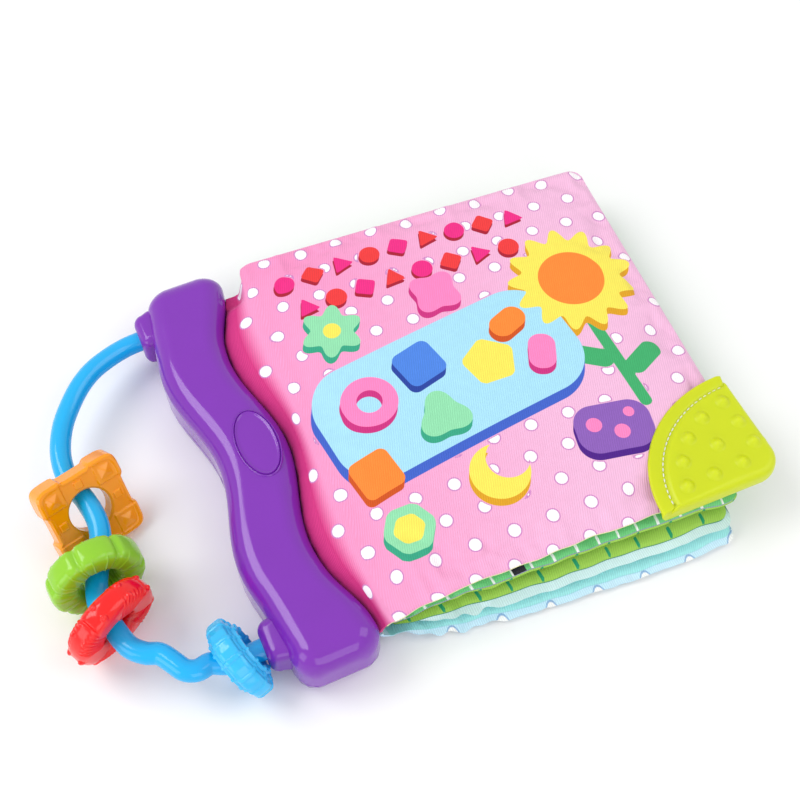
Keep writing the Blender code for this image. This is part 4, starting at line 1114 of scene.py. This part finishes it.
def corner_stitches(look):
    """Lockstitches through the teether's flange: short round-ended threads laid along its arc."""
    pitch, length, thread_radius, steps, around = 2.3 * mm, 1.8 * mm, 0.27 * mm, 9, 8
    turn = quarter(400)
    n, f = (near_leg - stitch_inset) * np.cos(turn), (fore_leg - stitch_inset) * np.sin(turn)
    reach = np.concatenate([[0.0], np.cumsum(np.hypot(np.diff(n), np.diff(f)))])
    starts = np.arange(2.6 * mm, reach[-1] - 3 * mm, pitch)
    at = starts[:, None] + np.linspace(0, length, steps)
    middle_n, middle_f = np.interp(at, reach, n), np.interp(at, reach, f)
    along = np.stack([np.gradient(middle_n, axis=1), np.gradient(middle_f, axis=1)], axis=-1)
    along /= np.linalg.norm(along, axis=-1, keepdims=True)
    ring = turns(around)
    rise = np.sin(np.linspace(0.12, np.pi - 0.12, steps))[:, None]
    radius = thread_radius * rise**0.6
    height = teether_base + 1.1 * mm + 0.3 * mm * rise + radius * np.sin(ring) + 0 * at[:, :, None]
    ring_n = middle_n[:, :, None] - along[:, :, 1:] * radius * np.cos(ring)
    ring_f = middle_f[:, :, None] + along[:, :, :1] * radius * np.cos(ring)
    points = np.stack([*on_legs(ring_n, ring_f), height], axis=-1).reshape(-1, 3)
    first = np.arange(len(starts))[:, None, None] * steps * around
    j = np.arange(1, around - 1)
    near_end = np.stack([0 * j, j + 1, j], axis=-1)
    far_end = np.stack([0 * j, j, j + 1], axis=-1) + (steps - 1) * around
    quads = (grid_quads(steps, around, False, True) + first).reshape(-1, 4)
    ends = (np.concatenate([near_end, far_end]) + first).reshape(-1, 3)
    return mesh_piece("corner_stitches", points, [quads, ends], look, 1.5)


# ---------------------------------------------------------------- stage


def placed(name, data, place):
    """An object of the scene at its place."""
    made = bpy.data.objects.new(name, data)
    made.location = place
    bpy.context.scene.collection.objects.link(made)
    return made


def aimed(lamp_or_camera, target):
    """Turns a lamp or a camera, which look along their own -Z, to a target."""
    ahead = Vector(target) - lamp_or_camera.location
    lamp_or_camera.rotation_euler = ahead.to_track_quat("-Z", "Y").to_euler()


def build_stage(light_level):
    """A pale floor with soft light from above and both sides, and the camera where the photo's was."""
    paper, tree, shader = new_material("pale_floor", {"Roughness": 0.9, "Specular IOR Level": 0.1})
    place = add_node(tree, "ShaderNodeTexCoord").outputs["Object"]
    grain = add_node(tree, "ShaderNodeTexNoise", {"Vector": place, "Scale": 30.0, "Detail": 3.0})
    shades = {0: grain.outputs["Fac"], 6: (0.95, 0.95, 0.95, 1.0), 7: (0.97, 0.97, 0.97, 1.0)}
    tone = add_node(tree, "ShaderNodeMix", shades, data_type="RGBA")
    tree.links.new(tone.outputs[2], shader.inputs["Base Color"])
    reach = 0.45
    corners = [(-reach, -reach, 0), (reach, -reach, 0), (reach, reach, 0), (-reach, reach, 0)]
    mesh = bpy.data.meshes.new("floor")
    mesh.from_pydata(corners, [], [(0, 1, 2, 3)])
    mesh.materials.append(paper)
    floor = placed("floor", mesh, (0.0, 0.0, -0.2 * mm))
    for name, place, size, power in (
        ("key_softbox", (-0.62, 0.42, 1.0), 0.7, 6.6), ("fill_softbox", (0.95, -0.45, 1.0), 1.0, 4.9),
        ("side_softbox", (-0.85, -0.25, 0.38), 0.5, 1.5), ("front_softbox", (-0.1, -1.0, 0.42), 0.6, 1.8),
    ):
        light = bpy.data.lights.new(name, "AREA")
        light.shape, light.size, light.energy = "SQUARE", size, power * light_level
        aimed(placed(name, light, place), (0.07, 0.0, 0.0))
    world = bpy.data.worlds.new("white_studio")
    world.use_nodes = True
    tree = world.node_tree
    tree.nodes.clear()
    path = add_node(tree, "ShaderNodeLightPath")
    # The camera, reflections and refractions see full white; all other rays get a dimmer light
    seen = path.outputs["Is Camera Ray"]
    for kind in ("Is Glossy Ray", "Is Transmission Ray"):
        either = {0: seen, 1: path.outputs[kind]}
        seen = add_node(tree, "ShaderNodeMath", either, operation="MAXIMUM").outputs[0]
    level = {"Value": seen, "To Min": 0.61 * light_level, "To Max": 1.0}
    strength = add_node(tree, "ShaderNodeMapRange", level).outputs["Result"]
    sky = add_node(tree, "ShaderNodeBackground", {"Color": (1.0, 1.0, 1.0, 1.0), "Strength": strength})
    add_node(tree, "ShaderNodeOutputWorld", {"Surface": sky.outputs["Background"]})
    camera = bpy.data.cameras.new("photo_camera")
    camera.lens, camera.sensor_width, camera.clip_start = 53.34, 36.0, 10 * mm
    holder = placed("photo_camera", camera, (-0.0326, -0.2177, 0.4147))
    aimed(holder, (0.06921, 0.01014, 0.0))
    scene = bpy.context.scene
    scene.world, scene.camera = world, holder
    scene.view_settings.view_transform = "Standard"


# ---------------------------------------------------------------- pieces


def tint_of(colour):
    """A colour setting as four linear numbers."""
    return (*colour[:3], 1.0)


def set_look(obj, look):
    """One material on the whole of a frame's node."""
    obj.data.materials.clear()
    obj.data.materials.append(look)


def build_handle(colours):
    """The casing, its underside, the bail's sockets, the oval badge and the screws."""
    purple = moulded_plastic("gloss_purple_abs", tint_of(colours.handle))
    fit(handle_upper_casing(purple), "handle", "handle_plastic", "handle_top_shell")
    for name, side in (("far_bail_socket", 1), ("near_bail_socket", -1)):
        fit(bail_socket(name, side, purple), "handle", "handle_plastic")
    fit(oval_badge(purple), "handle", "handle_plastic", "oval_cap")
    underside = frame["nodes"]["handle_bottom_shell"]
    set_look(underside, purple)
    underside.modifiers.new("Weld", "WELD").merge_threshold = 0.01 * mm
    underside.data.shade_smooth()
    underside.modifiers.new("Creases", "EDGE_SPLIT").split_angle = 0.6
    underside.modifiers.new("Flats", "WEIGHTED_NORMAL").keep_sharp = True
    steel = plated_steel("zinc_plated_steel")
    for name, node in frame["nodes"].items():
        if "screw" in name:
            set_look(node, steel)


def build_bail(colours):
    """The wavy D-shaped rod, its ends hidden in their sockets."""
    blue = moulded_plastic("gloss_blue_polypropylene", tint_of(colours.bail))
    fit(wavy_bail(blue), "handle", "bail_plastic", "bail")


def build_rings(colours):
    """The four loose rings, each in the place that it has in the photograph.

    Places are shares of the bail's reach and of its sockets' place, and heights; turns are in degrees.
    """
    # The square ring's lowest edge is 0.3 mm over the floor
    lean = 55.5
    lift = square_half * np.sin(np.radians(lean)) + square_thick * np.cos(np.radians(lean)) + 0.3 * mm
    for node, body, slot, make, out, along, height, turn in (
        ("ring_square", "square_ring", "orange_plastic", notched_square_ring, 0.8955, 0.0845, lift,
         (24.0, lean, -9.8)),
        ("ring_lobed", "lobed_ring", "green_plastic", puffy_lobed_ring, 0.9642, -0.3099, 18.0 * mm,
         (7.0, 86.5, 0.0)),
        ("ring_ridged", "ridged_ring", "red_plastic", ridged_bumpy_ring, 0.9672, -0.5775, 17.8 * mm,
         (27.0, 96.0, 0.0)),
        ("ring_stepped", "stepped_ring", "blue_plastic", stepped_ribbed_ring, 0.4190, -1.0040, 15.7 * mm,
         (103.2, 76.0, 0.0)),
    ):
        name = slot.replace("_plastic", "_translucent_plastic")
        plastic = moulded_plastic(name, tint_of(getattr(colours, body)), 3 * mm)
        place = (-bail_reach * out, boss_place * along, height)
        fit(make(plastic, ring_matrix(place, turn)), body, slot, node)


# The cover's inks in the order that they are printed in
COVER_INKS = {
    "dot_rim": "#cf88c4", "dot": "#fffafd", "stem": "#3fae6c", "sunny_side": "#e0a21e", "sunny": "#f8e85c",
    "mat_side": "#3f62c8", "mat": "#a9e0f6", "pink_side": "#cc2f80", "blue_side": "#24409c",
    "mint_side": "#34a583", "orange_side": "#cf5216", "purple_side": "#4a1585", "red_side": "#a81530",
    "mint": "#92dfae", "orange": "#ff8a35", "purple": "#8c5fb8", "blue": "#4c84e2", "pink": "#ff86c2",
    "magenta": "#ee2a86", "red": "#ee3a3c",
}


def dyed_cloth(name, grounds, *inks):
    """A printed cloth from hex codes: its two ground colours, and each ink's attribute, colour and edge."""
    inks = [(ink, linear(tone), edge) for ink, tone, edge in inks]
    return printed_cloth(name, [linear(tone) for tone in grounds], inks)


def cover_looks(colours):
    """The front cover's outer print, with a painted shade that deepens its pink down the roll beside the
    handle.
    """
    # The second entry is painted shade, not print: dark pink down the roll where the cloth falls into shadow
    # beside the handle
    inks = [("cover_fade", linear("#f2bcdd"), 4.0), ("cover_gutter", linear("#d83684"), 3.0)]
    # Yellow and orange lie over the sides of other motifs too
    inks += [(f"cover_{ink}", linear(COVER_INKS[ink]), crisp) for ink in (*COVER_INKS, "sunny", "orange")]
    return printed_cloth("pink_printed_satin", (tint_of(colours.cover), linear("#f8a8d4")), inks)


def page_looks():
    """Each inner face's satin: spots, big shapes in the ground's own hue, and marks along the near edge."""
    looks = {}
    for name, grounds, spot, shape, core, *marks in (
        ("green", ("#66c878", "#7fd98d"), "#a5eab0", "#8fe09a", "#4fb56a",
         ("page_ticks", "#fbfdfb", fine), ("page_band", "#20222a", fine)),
        ("lime", ("#93c648", "#a9d85c"), "#d5ee9a", "#bfe276", "#7cb43e", ("page_dashes", "#1f9d6d", fine)),
        ("pale", ("#cdeef1", "#dcf6f7"), "#ffffff", "#b8e4ee", "#f6e38a",
         ("page_stitches", "#ffffff", crisp)),
        ("aqua", ("#98e6e6", "#adf0ee"), "#e2fbf8", "#c4f6f2", "#63cfd2"),
    ):
        shapes = ("page_inner_spot", spot, crisp), ("page_shape", shape, crisp), ("page_core", core, crisp)
        looks[name] = dyed_cloth(f"{name}_satin", grounds, *shapes, *marks)
    return looks


def build_leaves(colours, puckers):
    """The four pillows, the spine cloths that join them to the handle, and the tape inside."""
    page, cover = page_looks(), cover_looks(colours)
    back = dyed_cloth(
        "pale_blue_printed_satin", ("#c2e9fb", "#d2f1fd"), ("page_spot_rim", "#8fb6dc", fine),
        ("page_spot", "#fbfdfb", crisp), ("page_shape", "#a6dcf4", crisp), ("page_core", "#ffd75e", crisp),
    )
    yellow = dyed_cloth("yellow_seam", ("#efe9a8", "#f6f2bd"))
    violet = dyed_cloth("violet_seam", ("#8587ab", "#9a9cbd"))
    dark_green = dyed_cloth("dark_green_seam", ("#2f7d5c", "#3f9470"))
    blue = dyed_cloth("blue_seam", ("#9fd9e6", "#b7e6ef"))
    # The front cover's outer face may swell freely; the other faces lie against something
    touching = 0.05 * mm
    for name, body, slot, looks, spacing, most, outward in (
        ("front_cover", None, "cover_fabric", (cover, page["green"], yellow), 0.8 * mm, 1.3 * mm,
         (1.3 * mm, touching)),
        ("page_one", "page_one", "green_fabric", (page["green"], page["lime"], violet), 1.1 * mm, 0.8 * mm,
         (touching, touching)),
        ("page_two", "page_two", "aqua_fabric", (page["lime"], page["pale"], dark_green), 1.1 * mm, 0.8 * mm,
         (touching, touching)),
        ("back_cover", None, "back_fabric", (page["aqua"], back, blue), 1.0 * mm, 0.8 * mm, (touching, 0.0)),
    ):
        pillow, chart = padded_leaf(name, looks, spacing, puckers, most, outward)
        ink_on(pillow, "page", chart, page_print)
        if name == "front_cover":
            ink_on(pillow, "cover", chart, cover_print)
        soft_nodes = [f"{name}_{part}" for part in ("upper_panel", "lower_panel", "wadding", "crinkle_film")]
        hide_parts(*soft_nodes)
        if body:
            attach(pillow, body)
        elif name == "front_cover":
            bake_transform(pillow)
        else:
            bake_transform(pillow)
    for name, leaf, look, prefix, printed, node, page_body, low, high in (
        ("front_spine_cloth", "front_cover", cover, "cover", cover_print, "front_gutter_web", "page_one",
         (0.022, 0, 0.0158), (0.022, 0, 0.0245)),
        ("back_spine_cloth", "back_cover", back, "page", page_print, "back_gutter_web", "page_two",
         (0.022, 0, 0.0115), (0.022, 0, 0.0028)),
    ):
        spine, chart = spine_cloth(name, leaf, look)
        ink_on(spine, prefix, chart, printed)
        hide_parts(node)
        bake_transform(spine)
    pale_blue = dyed_cloth("pale_blue_spine_satin", ("#bfe6f8", "#cdeefb"))
    tape = fit(hinge_tape(pale_blue), "handle", "spine_fabric", "spine_tape")


def build_teether(colours):
    """The silicone corner and the thread that sews its flange to the cover."""
    silicone = cast_silicone("lime_silicone", tint_of(colours.teether))
    fit(corner_teether(silicone), "front_cover", "teether_silicone", "corner_teether")
    thread = spun_thread("pale_grey_thread", linear("#e4e6dc"))
    fit(corner_stitches(thread), "front_cover", "teether_silicone")


# ---------------------------------------------------------------- add-on


def colour_setting(name, description, hex_code):
    """A colour that the sidebar shows, with its usual value."""
    return bpy.props.FloatVectorProperty(
        name=name, description=description, default=linear(hex_code)[:3], subtype="COLOR", size=3, min=0.0,
        max=1.0,
    )


class ClothBookColours(bpy.types.PropertyGroup):
    """The colours that a user of the book would change."""

    handle: colour_setting("Handle", "Colour of the handle's plastic", "#7c28b0")
    bail: colour_setting("Bail", "Colour of the bail's plastic", "#08b0f0")
    square_ring: colour_setting("Square ring", "Colour of the square ring", "#ff9c00")
    lobed_ring: colour_setting("Lobed ring", "Colour of the lobed ring", "#90cc28")
    ridged_ring: colour_setting("Ridged ring", "Colour of the ridged ring", "#f40808")
    stepped_ring: colour_setting("Stepped ring", "Colour of the stepped ring", "#30bcf4")
    cover: colour_setting("Cover", "Ground colour of the cover's print", "#f684ba")
    teether: colour_setting("Teether", "Colour of the silicone corner", "#ccd810")


class ClothBookSizes(bpy.types.PropertyGroup):
    """The sizes that a user of the book would change."""

    puckers: bpy.props.FloatProperty(
        name="Puckers", description="Height of the gathers beside the seams", default=0.5 * mm, min=0.0,
        max=1.2 * mm, subtype="DISTANCE", unit="LENGTH",
    )
    light_level: bpy.props.FloatProperty(
        name="Light level", description="Brightness of the studio's lights", default=1.0, min=0.1, max=4.0,
        subtype="FACTOR",
    )


class CLOTH_BOOK_OT_handle(bpy.types.Operator):
    """Builds the handle's casing, sockets and badge, and dresses its underside and screws"""

    bl_idname = "cloth_book.handle"
    bl_label = "Build the handle"

    def execute(self, context):
        build_handle(context.scene.cloth_book_colours)
        return {"FINISHED"}


class CLOTH_BOOK_OT_bail(bpy.types.Operator):
    """Builds the wavy bail"""

    bl_idname = "cloth_book.bail"
    bl_label = "Build the bail"

    def execute(self, context):
        build_bail(context.scene.cloth_book_colours)
        return {"FINISHED"}


class CLOTH_BOOK_OT_rings(bpy.types.Operator):
    """Builds the four loose rings"""

    bl_idname = "cloth_book.rings"
    bl_label = "Build the rings"

    def execute(self, context):
        build_rings(context.scene.cloth_book_colours)
        return {"FINISHED"}


class CLOTH_BOOK_OT_leaves(bpy.types.Operator):
    """Builds the padded leaves and their spine cloth"""

    bl_idname = "cloth_book.leaves"
    bl_label = "Build the leaves"

    def execute(self, context):
        build_leaves(context.scene.cloth_book_colours, context.scene.cloth_book_sizes.puckers)
        return {"FINISHED"}


class CLOTH_BOOK_OT_teether(bpy.types.Operator):
    """Builds the silicone corner and its stitches"""

    bl_idname = "cloth_book.teether"
    bl_label = "Build the teether"

    def execute(self, context):
        build_teether(context.scene.cloth_book_colours)
        return {"FINISHED"}


class CLOTH_BOOK_OT_stage(bpy.types.Operator):
    """Builds the floor, the lights and the camera"""

    bl_idname = "cloth_book.stage"
    bl_label = "Build the stage"

    def execute(self, context):
        build_stage(context.scene.cloth_book_sizes.light_level)
        return {"FINISHED"}


class CLOTH_BOOK_PT_panel(bpy.types.Panel):
    """Lists the book's settings and operators"""

    bl_label = "Cloth Book"
    bl_idname = "CLOTH_BOOK_PT_panel"
    bl_space_type = "VIEW_3D"
    bl_region_type = "UI"
    bl_category = "Cloth Book"

    def draw(self, context):
        for group in (context.scene.cloth_book_colours, context.scene.cloth_book_sizes):
            for setting in group.__annotations__:
                self.layout.prop(group, setting)
        for operator in OPERATORS:
            self.layout.operator(operator.bl_idname)


OPERATORS = (
    CLOTH_BOOK_OT_handle, CLOTH_BOOK_OT_bail, CLOTH_BOOK_OT_rings, CLOTH_BOOK_OT_leaves,
    CLOTH_BOOK_OT_teether, CLOTH_BOOK_OT_stage,
)


def register():
    for kind in (ClothBookColours, ClothBookSizes, *OPERATORS, CLOTH_BOOK_PT_panel):
        bpy.utils.register_class(kind)
    bpy.types.Scene.cloth_book_colours = bpy.props.PointerProperty(type=ClothBookColours)
    bpy.types.Scene.cloth_book_sizes = bpy.props.PointerProperty(type=ClothBookSizes)


def unregister():
    del bpy.types.Scene.cloth_book_sizes
    del bpy.types.Scene.cloth_book_colours
    for kind in (CLOTH_BOOK_PT_panel, *reversed(OPERATORS), ClothBookSizes, ClothBookColours):
        bpy.utils.unregister_class(kind)


def main():
    """Builds every piece in order."""
    register()
    build = bpy.ops.cloth_book
    for step in (build.handle, build.bail, build.rings, build.leaves, build.teether, build.stage):
        step()


if __name__ == "__main__":
    main()
